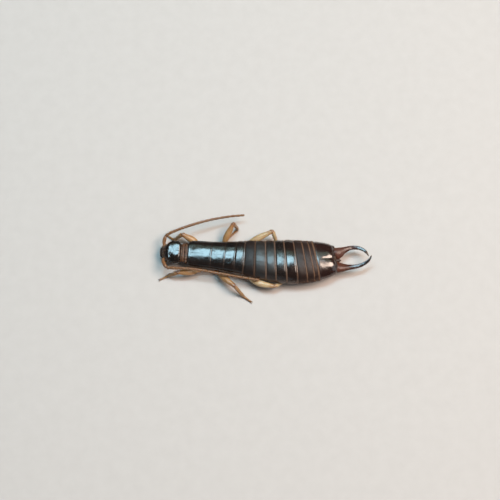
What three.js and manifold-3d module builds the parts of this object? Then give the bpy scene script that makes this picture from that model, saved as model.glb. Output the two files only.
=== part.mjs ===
// A wingless earwig, adult male, life size: 20 mm from the upper lip to the tips of the forceps.
// Millimetres. +Z is up and Z = 0 is the floor under the feet. The animal faces -X, so its tail and
// forceps lie along +X and its right side is +Y. It stands crouched, body bent a little, with both
// antennae swept back. Each plated segment, leg joint, feeler and mouthpart is one closed solid.
import * as THREE from "three";
import { mergeVertices } from "three/addons/utils/BufferGeometryUtils.js";
import Module from "manifold-3d";

const wasm = await Module();
wasm.setup();

// ---------------------------------------------------------------- sizes
const GAP = 0.04; // clearance between neighbouring solids
const CENTRE = [-0.074, 0.1015]; // middle of the whole footprint, moved to the origin at the end

// Body, as short tables of [x, value]: midline y, half width, height of back, widest line and belly.
const AXIS = [[-10.1, 0.6], [-8, 0.46], [-6.3, 0.29], [-4, 0.09], [-2.05, -0.08], [-0.05, -0.31], [1.8, -0.44], [3.6, -0.42], [4.75, -0.34], [6.65, -0.17], [10, 0.13]];
const HALF = [[-7.36, 1.12], [-6.9, 1.25], [-5.18, 1.32], [-3.9, 1.44], [-2.05, 1.66], [-0.05, 1.9], [1.83, 2.07], [2.76, 2.08], [3.61, 2.03], [4.75, 1.9], [5.9, 1.63], [6.65, 1.25]];
const BACK = [[-7.36, 1.6], [-6.3, 1.74], [-5.18, 1.77], [-3.9, 1.84], [-2.05, 1.93], [-0.05, 2.06], [1.83, 2.16], [3.61, 2.14], [4.75, 2.06], [5.9, 1.92], [6.65, 1.7]];
const SIDE = [[-7.36, 1.32], [-5.18, 1.28], [-2.05, 1.2], [1.83, 1.15], [4.75, 1.18], [6.65, 1.22]];
const BELLY = [[-7.36, 0.74], [-5.18, 0.66], [-2.9, 0.56], [-0.05, 0.46], [1.83, 0.42], [3.61, 0.44], [4.75, 0.52], [6.65, 0.78]];
// How square the back is in cross section: 2 is an ellipse, more is flatter with steeper sides.
const CREST = [[-7.36, 2.7], [-3, 2.6], [-1, 2.2], [1, 2.05], [4.7, 2.05], [6.65, 2.3]];
// How far each rim is turned about the vertical, in degrees: the bent body fans its rings apart.
const TURN = [[-7.36, -4], [-5.2, -5.5], [-2.05, -5], [-1.05, -2.2], [0, 0.8], [0.9, 2.4], [1.84, 4.4], [2.81, 6.2], [3.66, 8.4], [4.3, 10], [4.72, 10.5], [6.65, 8.5]];
// Where each ring of the trunk ends.
const TRUNK = [["prothorax", -7.36, -5.18], ["mesothorax", -5.18, -3.9], ["metathorax", -3.9, -2.89], ["abdomen_1", -2.89, -2.05], ["abdomen_2", -2.05, -1.05], ["abdomen_3", -1.05, 0], ["abdomen_4", 0, 0.9], ["abdomen_5", 0.9, 1.84], ["abdomen_6", 1.84, 2.81], ["abdomen_7", 2.81, 3.66], ["abdomen_8", 3.66, 4.3], ["abdomen_9", 4.3, 4.72], ["abdomen_10", 4.72, 6.62]];
// Head, from the front of the brow to the back of the skull.
const HEAD_HALF = [[-9.76, 0.46], [-9.6, 0.58], [-9.4, 0.74], [-9.2, 0.89], [-9, 1.01], [-8.75, 1.1], [-8.45, 1.12], [-8.2, 1.0], [-8.04, 0.74]];
const HEAD_BACK = [[-9.76, 1.32], [-9.5, 1.44], [-9.2, 1.59], [-8.8, 1.72], [-8.45, 1.76], [-8.2, 1.7], [-8.04, 1.5]];
const HEAD_BELLY = [[-9.76, 0.96], [-9.5, 0.82], [-9, 0.64], [-8.5, 0.6], [-8.04, 0.74]];
const HEAD_SIDE = 1.14;
const EYE = { x: -8.86, out: 0.99, z: 1.24, size: [0.21, 0.13, 0.17] };

// Legs: [foot of the coxa, trochanter, knee, ankle, claws], one row for each leg.
const LEGS = {
  front_right: [[-6.45, 0.72, 0.5], [-6.22, 1.32, 0.6], [-7.93, 2.25, 1.32], [-8.74, 1.96, 0.3], [-9.5, 2.5, 0.22]],
  front_left: [[-6.45, -0.14, 0.5], [-6.22, -1.1, 0.6], [-8.36, -1.44, 1.08], [-9.26, -1.52, 0.3], [-10.05, -1.9, 0.22]],
  mid_right: [[-4.55, 0.55, 0.46], [-4.12, 1.3, 0.58], [-3.08, 3.22, 1.62], [-2.68, 3.04, 0.3], [-3.36, 2.38, 0.22]],
  mid_left: [[-4.85, -0.28, 0.46], [-4.7, -1.14, 0.56], [-2.92, -2.8, 1.24], [-2.14, -3.5, 0.3], [-1.42, -4.04, 0.22]],
  hind_right: [[-3.0, 0.5, 0.4], [-2.05, 1.25, 0.54], [0.66, 2.56, 1.36], [1.22, 1.2, 0.28], [2.44, 0.98, 0.22]],
  hind_left: [[-3.0, -0.52, 0.4], [-1.94, -1.6, 0.54], [0.81, -2.8, 1.12], [1.95, -1.92, 0.28], [3.1, -2.0, 0.22]],
};
const COXA = [0.24, 0.3, 0.3, 0.25]; // radii along each joint of a leg
const FEMUR = [0.25, 0.31, 0.33, 0.31, 0.27];
const TIBIA = [0.26, 0.26, 0.25, 0.25];
const TARSUS = [0.25, 0.25, 0.25, 0.24];
const FOOT = 0.21; // height of a foot's midline, less than its radius, so that it stands on a flat
const BOW = { hind_left: 0.08, other: 0.02 }; // how far the middle of a thigh bows out, as a share of its length

// Antennae: base joint, then the whip, in lengths that each bulge a little.
const ANTENNAE = {
  left: { scape: [[-9.72, -0.08, 1.12], [-9.42, -0.98, 1.4]], whip: [[-9.33, -1.07, 1.44], [-8.5, -1.13, 1.6], [-7.2, -1.19, 1.6], [-5.8, -1.36, 1.54], [-4.37, -1.62, 1.5], [-2.95, -1.87, 1.48], [-1.71, -2.09, 1.46], [-0.6, -2.28, 1.46]] },
  right: { scape: [[-9.66, 1.2, 1.12], [-9.52, 2.04, 1.4]], whip: [[-9.42, 2.13, 1.44], [-9.03, 2.33, 1.52], [-8.46, 2.57, 1.58], [-7.6, 2.9, 1.6], [-6.27, 3.35, 1.54], [-4.85, 3.74, 1.43], [-3.42, 4.03, 1.28], [-2, 4.22, 1.1]] },
};
const ANTENNA = { scape: 0.26, whip: 0.26, tip: 0.23, joints: 18 };

// Forceps: midline points and radii. The right one is the more strongly bent.
const FORCEPS = {
  right: { line: [[6.66, 0.4, 1.2], [6.98, 0.53, 1.2], [7.41, 0.73, 1.18], [7.98, 0.93, 1.15], [8.55, 0.97, 1.12], [9.12, 0.82, 1.06], [9.53, 0.49, 0.98], [9.76, 0.12, 0.9]], radius: [0.56, 0.47, 0.32, 0.24, 0.23, 0.22, 0.2, 0.1] },
  left: { line: [[6.66, -0.98, 1.2], [7.0, -1.01, 1.2], [7.6, -0.985, 1.2], [8.27, -0.93, 1.22], [8.93, -0.79, 1.26], [9.5, -0.5, 1.32], [9.84, -0.18, 1.38], [9.98, 0.16, 1.42]], radius: [0.5, 0.45, 0.32, 0.26, 0.24, 0.22, 0.2, 0.1] },
};

// ---------------------------------------------------------------- helpers
// A smooth curve through a short table of [x, value] pairs.
function along(table, x) {
  const n = table.length;
  if (x <= table[0][0]) return table[0][1];
  if (x >= table[n - 1][0]) return table[n - 1][1];
  let i = 0;
  while (x > table[i + 1][0]) i++;
  const slope = (j) => {
    const a = Math.max(j - 1, 0), b = Math.min(j + 1, n - 1);
    return (table[b][1] - table[a][1]) / (table[b][0] - table[a][0]);
  };
  const [x0, v0] = table[i], [x1, v1] = table[i + 1], h = x1 - x0, t = (x - x0) / h;
  return (2 * t ** 3 - 3 * t ** 2 + 1) * v0 + (t ** 3 - 2 * t ** 2 + t) * h * slope(i) + (3 * t ** 2 - 2 * t ** 3) * v1 + (t ** 3 - t ** 2) * h * slope(i + 1);
}
const yaw = (x) => THREE.MathUtils.degToRad(along(TURN, x));

// One closed surface through rings of equal count, with a fan over each end.
function loft(rings) {
  const n = rings[0].length, pos = [], idx = [];
  for (const r of rings) for (const p of r) pos.push(p.x, p.y, p.z);
  for (let i = 0; i + 1 < rings.length; i++)
    for (let j = 0; j < n; j++) {
      const a = i * n + j, b = i * n + ((j + 1) % n);
      idx.push(a, b, b + n, a, b + n, a + n);
    }
  for (const [i, flip] of [[0, true], [rings.length - 1, false]]) {
    const c = rings[i].reduce((s, p) => s.add(p), new THREE.Vector3()).divideScalar(n), k = pos.length / 3;
    pos.push(c.x, c.y, c.z);
    for (let j = 0; j < n; j++) {
      const a = i * n + j, b = i * n + ((j + 1) % n);
      flip ? idx.push(k, b, a) : idx.push(k, a, b);
    }
  }
  return new THREE.BufferGeometry().setAttribute("position", new THREE.Float32BufferAttribute(pos, 3)).setIndex(idx);
}

// A three.js geometry as a solid, and back.
function solid(geometry) {
  const g = geometry.clone();
  for (const k of Object.keys(g.attributes)) if (k !== "position") g.deleteAttribute(k);
  const m = mergeVertices(g, 1e-4), tri = new Uint32Array(m.index.array);
  const made = new wasm.Manifold(new wasm.Mesh({ numProp: 3, vertProperties: m.attributes.position.array, triVerts: tri }));
  if (made.volume() > 0) return made;
  for (let i = 0; i < tri.length; i += 3) [tri[i + 1], tri[i + 2]] = [tri[i + 2], tri[i + 1]];
  return new wasm.Manifold(new wasm.Mesh({ numProp: 3, vertProperties: m.attributes.position.array, triVerts: tri }));
}
function geometryOf(s) {
  const m = s.getMesh(), v = new Float32Array(m.numVert * 3);
  for (let i = 0; i < m.numVert; i++) for (let k = 0; k < 3; k++) v[i * 3 + k] = m.vertProperties[i * m.numProp + k];
  return new THREE.BufferGeometry().setAttribute("position", new THREE.BufferAttribute(v, 3)).setIndex(new THREE.BufferAttribute(new Uint32Array(m.triVerts), 1));
}
// What is left of a solid once its neighbours are cut away, largest piece only, slivers cleaned off.
function clear(s, ...cutters) {
  for (const c of cutters) s = s.subtract(c);
  const pieces = s.decompose().sort((a, b) => b.volume() - a.volume());
  return pieces[0].simplify(0.004);
}

// Rounded cross section of a body ring at x: superellipse, flatter above than below.
function bodyRing(x, { half, back, side, belly, grow = 0, scale = 1, n = 24, over = 2.3, under = 2, at = x }) {
  const pts = [], turn = yaw(at), c0 = new THREE.Vector3(at, along(AXIS, at), 0);
  const mid = side;
  for (let j = 0; j < n; j++) {
    const t = (j / n) * 2 * Math.PI, c = Math.cos(t), s = Math.sin(t), e = 2 / (s >= 0 ? over : under);
    const y = (half * scale + grow) * Math.sign(c) * Math.abs(c) ** e;
    const z = s >= 0 ? mid + ((back - mid) * scale + grow) * s ** e : mid - ((mid - belly) * scale + grow) * (-s) ** e;
    pts.push(new THREE.Vector3(c0.x - y * Math.sin(turn), c0.y + y * Math.cos(turn), z));
  }
  return pts;
}
// A trunk ring from x0 to x1: fuller towards its rear rim, tucked in where it meets the next.
function trunkRing(x0, x1, grow = 0, under = 2, n = 22) {
  const L = x1 - x0, rows = [[GAP / 2, 0.95], [0.22, 0.985], [0.7, 1.0], [L - GAP / 2, 0.985]];
  return loft(rows.map(([d, scale], i) => {
    const x = i === 0 ? x0 + d - grow : i === 3 ? x1 - GAP / 2 + grow : x0 + d * L;
    const at = Math.min(Math.max(x, x0), x1);
    return bodyRing(x, { half: along(HALF, at), back: along(BACK, at), side: along(SIDE, at), belly: along(BELLY, at), grow, scale, n, over: along(CREST, at), under });
  }));
}
// A limb: rings about a smooth midline, with rounded ends; radii are spread evenly along it.
function limb(points, radii, { sides = 10, steps = 6, grow = 0, floor = null, tall = 1, round = 0.5 } = {}) {
  const curve = new THREE.CatmullRomCurve3(points.map((p) => new THREE.Vector3(...p)), false, "centripetal");
  const rad = radii.map((r, i) => [i / (radii.length - 1), r]);
  const rows = [[0, 0.62, -1]];
  for (let i = 0; i <= steps; i++) rows.push([i / steps, 1, 0]);
  rows.push([1, 0.62, 1]);
  const rings = rows.map(([u, f, cap]) => {
    const p = curve.getPointAt(u), d = curve.getTangentAt(u), r = along(rad, u) + grow;
    const across = new THREE.Vector3(-d.y, d.x, 0).normalize(), up = new THREE.Vector3().crossVectors(d, across).normalize();
    p.addScaledVector(d, cap * r * round);
    return Array.from({ length: sides }, (_, j) => {
      const t = ((j + 0.5) / sides) * 2 * Math.PI;
      const q = p.clone().addScaledVector(across, r * f * Math.cos(t)).addScaledVector(up, r * f * tall * Math.sin(t));
      if (floor !== null) q.z = Math.max(q.z, floor);
      return q;
    });
  });
  return loft(rings);
}
const ellipsoid = (centre, size, grow = 0, w = 10, h = 6) =>
  new THREE.SphereGeometry(1, w, h).scale(size[0] + grow, size[1] + grow, size[2] + grow).translate(...centre);

// ---------------------------------------------------------------- materials
const shell = new THREE.MeshStandardMaterial({ name: "shell_black", color: 0x1a100c, roughness: 0.22, metalness: 0 });
const rear = new THREE.MeshStandardMaterial({ name: "shell_red", color: 0x43190f, roughness: 0.24, metalness: 0 });
const neckSkin = new THREE.MeshStandardMaterial({ name: "membrane", color: 0x6b4126, roughness: 0.5, metalness: 0 });
const leg = new THREE.MeshStandardMaterial({ name: "leg_straw", color: 0xc7a276, roughness: 0.38, metalness: 0 });
const feeler = new THREE.MeshStandardMaterial({ name: "antenna_brown", color: 0x9a6d45, roughness: 0.42, metalness: 0 });
const mouth = new THREE.MeshStandardMaterial({ name: "mouth_brown", color: 0x4a2615, roughness: 0.32, metalness: 0 });
const eyeBlack = new THREE.MeshStandardMaterial({ name: "eye_black", color: 0x0b0908, roughness: 0.2, metalness: 0 });

// ---------------------------------------------------------------- the animal
const earwig = new THREE.Group();
const footprint = new THREE.Group();
earwig.add(footprint);
const add = (name, s, material) => {
  const mesh = new THREE.Mesh(geometryOf(s), material);
  mesh.name = name;
  footprint.add(mesh);
};

// Trunk: three rings of the thorax and ten of the abdomen, each with its own grown copy for cutting.
const trunkGrown = [];
for (const [name, x0, x1] of TRUNK) {
  const thorax = name.endsWith("thorax");
  const under = thorax ? 1.55 : 2;
  add(name, solid(trunkRing(x0, x1, 0, under)), thorax || Number(name.slice(8)) < 8 ? shell : rear);
  trunkGrown.push(solid(trunkRing(x0, x1, GAP, under)));
}
const body = trunkGrown.reduce((a, b) => a.add(b));

// Head, with a socket for each eye.
const headLoft = (grow) => {
  const xs = [-9.76 - grow, -9.64, -9.4, -9.1, -8.75, -8.42, -8.18, -8.04 + grow];
  return loft(xs.map((x) => bodyRing(x, { half: along(HEAD_HALF, x), back: along(HEAD_BACK, x), side: HEAD_SIDE, belly: along(HEAD_BELLY, x), grow, n: 18, over: 2.2, under: 2.1 })));
};
const eyeAt = (s, grow) => solid(ellipsoid([EYE.x, along(AXIS, EYE.x) + s * EYE.out, EYE.z], EYE.size, grow));
const skull = solid(headLoft(0)), skullGrown = solid(headLoft(GAP));
add("head", clear(skull, eyeAt(1, GAP), eyeAt(-1, GAP)), shell);
for (const [side, s] of [["right", 1], ["left", -1]]) add("eye_" + side, eyeAt(s, 0), eyeBlack);

// Neck: a folded collar of skin between the skull and the first plate.
add("neck", solid(loft([[-8.0, 0.82, 0.3], [-7.86, 0.97, 0.38], [-7.72, 0.93, 0.34], [-7.56, 1.04, 0.4], [-7.38, 0.98, 0.36]].map(([x, half, tall]) =>
  bodyRing(x, { half, back: 1.16 + tall, side: 1.16, belly: 1.16 - tall, n: 20 })))), neckSkin);

// Mouthparts: upper lip, two jaws, the lower lip, and a jointed palp each side.
const midY = (x) => along(AXIS, x);
const box = (rows) => solid(loft(rows.map(([x, half, back, belly]) => bodyRing(x, { half, back, side: (back + belly) / 2, belly, n: 12, over: 2.8, under: 2.8 }))));
add("labrum", box([[-10.03, 0.2, 1.16, 1.0], [-9.98, 0.31, 1.22, 0.98], [-9.88, 0.37, 1.26, 0.97], [-9.8, 0.4, 1.28, 0.97]]), mouth);
const underLip = (grow) => solid(loft([[-9.98, 0.22, 0.7, 0.5], [-9.72, 0.36, 0.72, 0.46], [-9.35, 0.42, 0.72, 0.44], [-9.05, 0.36, 0.66, 0.48]].map(([x, half, back, belly]) =>
  bodyRing(x, { half, back, side: (back + belly) / 2, belly, grow, n: 12, over: 2.8, under: 2.8 }))));
add("labium", clear(underLip(0), skullGrown), mouth);
for (const [side, s] of [["right", 1], ["left", -1]]) {
  const y = midY(-9.8);
  const jaw = solid(limb([[-9.72, y + s * 0.3, 0.86], [-9.88, y + s * 0.28, 0.85], [-10, y + s * 0.12, 0.85]], [0.1, 0.11, 0.08], { sides: 8, steps: 3, round: 0.4 }));
  add("mandible_" + side, clear(jaw, skullGrown), mouth);
  const palp = solid(limb([[-9.22, y + s * 0.58, 0.64], [-9.48, y + s * 0.82, 0.5], [-9.72, y + s * 0.8, 0.4], [-9.9, y + s * 0.64, 0.35]], [0.2, 0.21, 0.2, 0.18], { sides: 7, steps: 4 }));
  add("palp_" + side, clear(palp, skullGrown, underLip(GAP)), leg);
}

// Antennae.
for (const [side, { scape, whip }] of Object.entries(ANTENNAE)) {
  const base = (grow) => solid(limb(scape, [ANTENNA.scape - 0.03, ANTENNA.scape, ANTENNA.scape], { sides: 8, steps: 3, grow, round: 0.45 }));
  add(`antenna_${side}_scape`, clear(base(0), skullGrown), feeler);
  const curve = new THREE.CatmullRomCurve3(whip.map((p) => new THREE.Vector3(...p)), false, "centripetal");
  const rings = [], count = ANTENNA.joints;
  for (let i = 0; i < count; i++)
    for (const [t, f] of [[0.0, 0.82], [0.55, 1]]) {
      const u = (i + t) / count, p = curve.getPointAt(u), d = curve.getTangentAt(u), r = THREE.MathUtils.lerp(ANTENNA.whip, ANTENNA.tip, u) * f;
      const across = new THREE.Vector3(-d.y, d.x, 0).normalize(), up = new THREE.Vector3().crossVectors(d, across);
      rings.push(Array.from({ length: 6 }, (_, j) => p.clone().addScaledVector(across, r * Math.cos((j / 6) * 2 * Math.PI)).addScaledVector(up, r * Math.sin((j / 6) * 2 * Math.PI))));
    }
  add(`antenna_${side}_flagellum`, clear(solid(loft(rings)), base(GAP), body), feeler);
}

// Legs: each joint is cut clear of the one before it, and of the body.
const flat = (r) => ({ sides: 8, steps: 3, ...r });
for (const [name, [coxa, hip, knee, ankle, claw]] of Object.entries(LEGS)) {
  const at = (a, b, t) => a.map((v, i) => v + (b[i] - v) * t);
  const side = Math.sign(knee[1] - hip[1]);
  const bow = (a, b) => at(a, b, 0.5).map((v, i) => v + [0, side, 0.4][i] * (BOW[name] ?? BOW.other) * Math.hypot(b[0] - a[0], b[1] - a[1]));
  const make = {
    coxa: (g) => solid(limb([coxa, at(coxa, hip, 0.55), hip], COXA, flat({ grow: g }))),
    femur: (g) => solid(limb([at(hip, knee, 0.09), bow(hip, knee), at(hip, knee, 0.97)], FEMUR, flat({ grow: g, steps: 5 }))),
    tibia: (g) => solid(limb([at(knee, ankle, 0.06), at(knee, ankle, 0.55), at(knee, ankle, 0.96)], TIBIA, flat({ grow: g, floor: 0.02 - g }))),
    tarsus: (g) => solid(limb([0.1, 0.5, 1].map((t) => [...at(ankle, claw, t).slice(0, 2), t < 0.3 ? 0.24 : FOOT]), TARSUS, flat({ grow: g, floor: 0 }))),
  };
  let before = [body];
  for (const joint of ["coxa", "femur", "tibia", "tarsus"]) {
    add(`leg_${name}_${joint}`, clear(make[joint](0), ...before), leg);
    before = [body, make[joint](GAP)];
  }
}

// Tail: the small plate between the forceps, then the forceps themselves.
const pincer = ({ line, radius }, grow) => solid(limb(line, radius, { sides: 10, steps: 11, grow, tall: 0.86, round: 0.25 }));
const pair = Object.entries(FORCEPS).map(([side, f]) => [side, pincer(f, 0), pincer(f, GAP)]);
add("pygidium", clear(solid(ellipsoid([6.88, -0.3, 1.08], [0.3, 0.3, 0.3])), body, ...pair.map((p) => p[2])), rear);
for (const [side, s] of pair) add("forceps_" + side, clear(s, body), rear);

footprint.position.set(-CENTRE[0], -CENTRE[1], 0);
export default earwig;
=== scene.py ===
# Looks of a life-size model of a wingless earwig, adult male, 20 mm long.
# The tables are millimetres in the layout of the solids; they are shifted and turned into metres once, in Shape.make.
import math

import bpy
import numpy as np
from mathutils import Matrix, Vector


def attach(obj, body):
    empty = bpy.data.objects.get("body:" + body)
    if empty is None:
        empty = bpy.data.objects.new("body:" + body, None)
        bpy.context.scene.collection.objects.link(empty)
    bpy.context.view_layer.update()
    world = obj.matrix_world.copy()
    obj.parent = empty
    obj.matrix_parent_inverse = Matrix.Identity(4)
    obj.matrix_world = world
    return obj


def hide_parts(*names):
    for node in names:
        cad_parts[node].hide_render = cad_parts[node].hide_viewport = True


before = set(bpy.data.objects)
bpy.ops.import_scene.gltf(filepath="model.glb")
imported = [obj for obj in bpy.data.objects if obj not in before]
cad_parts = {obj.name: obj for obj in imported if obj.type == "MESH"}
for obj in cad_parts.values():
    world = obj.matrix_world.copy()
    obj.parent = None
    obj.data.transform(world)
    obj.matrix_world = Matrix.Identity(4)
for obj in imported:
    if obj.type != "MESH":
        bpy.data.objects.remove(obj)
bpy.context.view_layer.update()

MM = 0.001
CENTRE = np.array([-0.074, 0.1015, 0.0])
PI = math.pi

# ------------------------------------------------------------------ sizes, as in the solids
AXIS = [[-10.1, 0.6], [-8, 0.46], [-6.3, 0.29], [-4, 0.09], [-2.05, -0.08], [-0.05, -0.31], [1.8, -0.44], [3.6, -0.42], [4.75, -0.34], [6.65, -0.17], [10, 0.13]]
HALF = [[-7.36, 1.12], [-6.9, 1.25], [-5.18, 1.32], [-3.9, 1.44], [-2.05, 1.66], [-0.05, 1.9], [1.83, 2.07], [2.76, 2.08], [3.61, 2.03], [4.75, 1.9], [5.9, 1.63], [6.65, 1.25]]
BACK = [[-7.36, 1.6], [-6.3, 1.74], [-5.18, 1.77], [-3.9, 1.84], [-2.05, 1.93], [-0.05, 2.06], [1.83, 2.16], [3.61, 2.14], [4.75, 2.06], [5.9, 1.92], [6.65, 1.7]]
SIDE = [[-7.36, 1.32], [-5.18, 1.28], [-2.05, 1.2], [1.83, 1.15], [4.75, 1.18], [6.65, 1.22]]
BELLY = [[-7.36, 0.74], [-5.18, 0.66], [-2.9, 0.56], [-0.05, 0.46], [1.83, 0.42], [3.61, 0.44], [4.75, 0.52], [6.65, 0.78]]
CREST = [[-7.36, 2.4], [-3, 2.35], [-1, 2.15], [0.4, 2.1], [2.3, 2.3], [4.7, 2.15], [6.65, 2.3]]
TURN = [[-7.36, -4], [-5.2, -5.5], [-2.05, -5], [-1.05, -2.2], [0, 0.8], [0.9, 2.4], [1.84, 4.4], [2.81, 6.2], [3.66, 8.4], [4.3, 10], [4.72, 10.5], [6.65, 8.5]]
THORAX = [("prothorax", -7.36, -5.18), ("mesothorax", -5.18, -3.9), ("metathorax", -3.9, -2.89)]
ABDOMEN = [-2.89, -2.05, -1.05, 0, 0.9, 1.84, 2.81, 3.66, 4.3, 4.72, 6.62]
HEAD_HALF = [[-9.76, 0.46], [-9.6, 0.58], [-9.4, 0.75], [-9.2, 0.9], [-9, 1.01], [-8.75, 1.09], [-8.45, 1.1], [-8.2, 1.01], [-8.07, 0.86], [-7.98, 0.7]]
HEAD_TOP = [[-9.76, 1.3], [-9.62, 1.41], [-9.45, 1.55], [-9.28, 1.63], [-9.05, 1.66], [-8.7, 1.69], [-8.35, 1.7], [-8.12, 1.67], [-7.98, 1.52]]
HEAD_BELLY = [[-9.76, 0.96], [-9.5, 0.82], [-9, 0.64], [-8.5, 0.6], [-7.98, 0.74]]
HEAD_SIDE = 1.14
EYE_X, EYE_OUT, EYE_Z, EYE_SIZE = -8.86, 0.99, 1.24, (0.21, 0.13, 0.17)
# foot of the coxa, trochanter, knee, ankle, claws; feet are nearer the floor than the thick solids' midlines
LEGS = {
    "front_right": [[-6.45, 0.72, 0.5], [-6.22, 1.32, 0.6], [-7.93, 2.25, 1.32], [-8.74, 1.96, 0.2], [-9.5, 2.5, 0.1]],
    "front_left": [[-6.45, -0.14, 0.5], [-6.22, -1.1, 0.6], [-8.36, -1.44, 1.08], [-9.26, -1.52, 0.2], [-10.05, -1.9, 0.1]],
    "mid_right": [[-4.55, 0.55, 0.46], [-4.12, 1.3, 0.58], [-3.08, 3.22, 1.62], [-2.68, 3.04, 0.2], [-3.36, 2.38, 0.1]],
    "mid_left": [[-4.85, -0.28, 0.46], [-4.7, -1.14, 0.56], [-2.92, -2.8, 1.24], [-2.14, -3.5, 0.2], [-1.42, -4.04, 0.1]],
    "hind_right": [[-3.0, 0.5, 0.4], [-2.05, 1.25, 0.54], [0.66, 2.56, 1.36], [1.22, 1.2, 0.19], [2.44, 0.98, 0.1]],
    "hind_left": [[-3.0, -0.52, 0.4], [-1.94, -1.6, 0.54], [0.81, -2.8, 1.12], [1.95, -1.92, 0.19], [3.1, -2.0, 0.1]],
}
BOW = {"hind_left": 0.08}
ANTENNAE = {
    "left": ([[-9.62, -0.02, 1.14], [-9.72, -0.3, 1.2], [-9.42, -0.98, 1.4]], [[-9.33, -1.07, 1.44], [-8.5, -1.13, 1.6], [-7.2, -1.19, 1.6], [-5.8, -1.36, 1.54], [-4.37, -1.62, 1.5], [-2.95, -1.87, 1.48], [-1.71, -2.09, 1.46], [-0.6, -2.24, 1.46]]),
    "right": ([[-9.56, 1.1, 1.14], [-9.66, 1.4, 1.2], [-9.52, 2.04, 1.4]], [[-9.42, 2.13, 1.44], [-9.03, 2.33, 1.52], [-8.46, 2.57, 1.58], [-7.6, 2.9, 1.6], [-6.27, 3.35, 1.54], [-4.85, 3.74, 1.43], [-3.42, 4.03, 1.28], [-2, 4.22, 1.1]]),
}
FORCEPS = {
    "right": ([[6.5, 0.33, 1.2], [6.66, 0.4, 1.2], [6.98, 0.53, 1.2], [7.41, 0.73, 1.18], [7.98, 0.93, 1.145], [8.55, 0.97, 1.13], [9.12, 0.82, 1.16], [9.53, 0.49, 1.2], [9.76, 0.12, 1.215]], [0.5, 0.54, 0.47, 0.3, 0.205, 0.18, 0.15, 0.11, 0.03]),
    "left": ([[6.5, -0.96, 1.2], [6.66, -0.98, 1.2], [7.0, -1.01, 1.2], [7.6, -0.985, 1.2], [8.27, -0.93, 1.22], [8.93, -0.79, 1.26], [9.5, -0.5, 1.32], [9.84, -0.18, 1.38], [9.98, 0.16, 1.42]], [0.46, 0.48, 0.44, 0.3, 0.21, 0.18, 0.15, 0.11, 0.03]),
}


# ------------------------------------------------------------------ numbers
def tab(table, x):
    """A smooth curve through [x, value] pairs, at every x of an array."""
    T = np.array(table, float)
    xs, vs = T[:, 0], T[:, 1]
    n = len(xs)
    a, b = np.maximum(np.arange(n) - 1, 0), np.minimum(np.arange(n) + 1, n - 1)
    m = (vs[b] - vs[a]) / (xs[b] - xs[a])
    x = np.clip(np.asarray(x, float), xs[0], xs[-1])
    i = np.clip(np.searchsorted(xs, x, side="right") - 1, 0, n - 2)
    h = xs[i + 1] - xs[i]
    t = (x - xs[i]) / h
    return (2 * t**3 - 3 * t**2 + 1) * vs[i] + (t**3 - 2 * t**2 + t) * h * m[i] + (3 * t**2 - 2 * t**3) * vs[i + 1] + (t**3 - t**2) * h * m[i + 1]


def ease(a, b, x):
    t = np.clip((np.asarray(x, float) - a) / (b - a), 0, 1)
    return t * t * (3 - 2 * t)


def bell(x, c, w):
    return np.exp(-(((np.asarray(x, float) - c) / w) ** 2))


def unit(v):
    return v / np.maximum(np.linalg.norm(v, axis=-1, keepdims=True), 1e-12)


def wobble(P, pitch, seed):
    """Smooth, seeded unevenness between about -1 and 1, with lumps of about that pitch."""
    r = np.random.default_rng(seed)
    out = 0
    for k in range(7):
        d = unit(r.normal(size=3)) * 2 * PI / (pitch * r.uniform(0.7, 1.6))
        out = out + np.sin(P @ d + r.uniform(0, 2 * PI))
    return out / 3.2


def spline(points, n, tight=False):
    """n evenly spaced points and tangents on a centripetal Catmull-Rom curve."""
    p = np.array(points, float)
    ext = np.vstack([2 * p[0] - p[1], p, 2 * p[-1] - p[-2]])
    out = []
    for i in range(1, len(ext) - 2):
        p0, p1, p2, p3 = ext[i - 1 : i + 3]
        t0 = 0.0
        t1 = t0 + max(np.linalg.norm(p1 - p0), 1e-6) ** 0.5
        t2 = t1 + max(np.linalg.norm(p2 - p1), 1e-6) ** 0.5
        t3 = t2 + max(np.linalg.norm(p3 - p2), 1e-6) ** 0.5
        t = np.linspace(t1, t2, 60, endpoint=i == len(ext) - 3)[:, None]
        a1 = (t1 - t) / (t1 - t0) * p0 + (t - t0) / (t1 - t0) * p1
        a2 = (t2 - t) / (t2 - t1) * p1 + (t - t1) / (t2 - t1) * p2
        a3 = (t3 - t) / (t3 - t2) * p2 + (t - t2) / (t3 - t2) * p3
        b1 = (t2 - t) / (t2 - t0) * a1 + (t - t0) / (t2 - t0) * a2
        b2 = (t3 - t) / (t3 - t1) * a2 + (t - t1) / (t3 - t1) * a3
        out.append((t2 - t) / (t2 - t1) * b1 + (t - t1) / (t2 - t1) * b2)
    q = np.vstack(out)
    s = np.concatenate([[0], np.cumsum(np.linalg.norm(np.diff(q, axis=0), axis=1))])
    u = np.linspace(0, s[-1], n) if np.isscalar(n) else np.asarray(n) * s[-1]
    c = np.stack([np.interp(u, s, q[:, k]) for k in range(3)], 1)
    e = s[-1] * 1e-3
    f = lambda w: np.stack([np.interp(np.clip(w, 0, s[-1]), s, q[:, k]) for k in range(3)], 1)
    return c, unit(f(u + e) - f(u - e)), s[-1]


# ------------------------------------------------------------------ meshes
def quads(nu, nv, wrap=False):
    i = np.arange(nu - 1)[:, None]
    j = np.arange(nv if wrap else nv - 1)[None]
    a, b = i * nv + j, i * nv + (j + 1) % nv
    return np.stack([a, b, b + nv, a + nv], -1).reshape(-1, 4)


def normals(P, wrap=False):
    du = np.gradient(P, axis=0)
    if wrap:
        dv = np.roll(P, -1, 1) - np.roll(P, 1, 1)
    else:
        dv = np.gradient(P, axis=1)
    N = unit(np.cross(du, dv))
    mid = P.reshape(-1, 3).mean(0)
    if ((P - mid) * N).sum() < 0:
        N = -N
    return N


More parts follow.
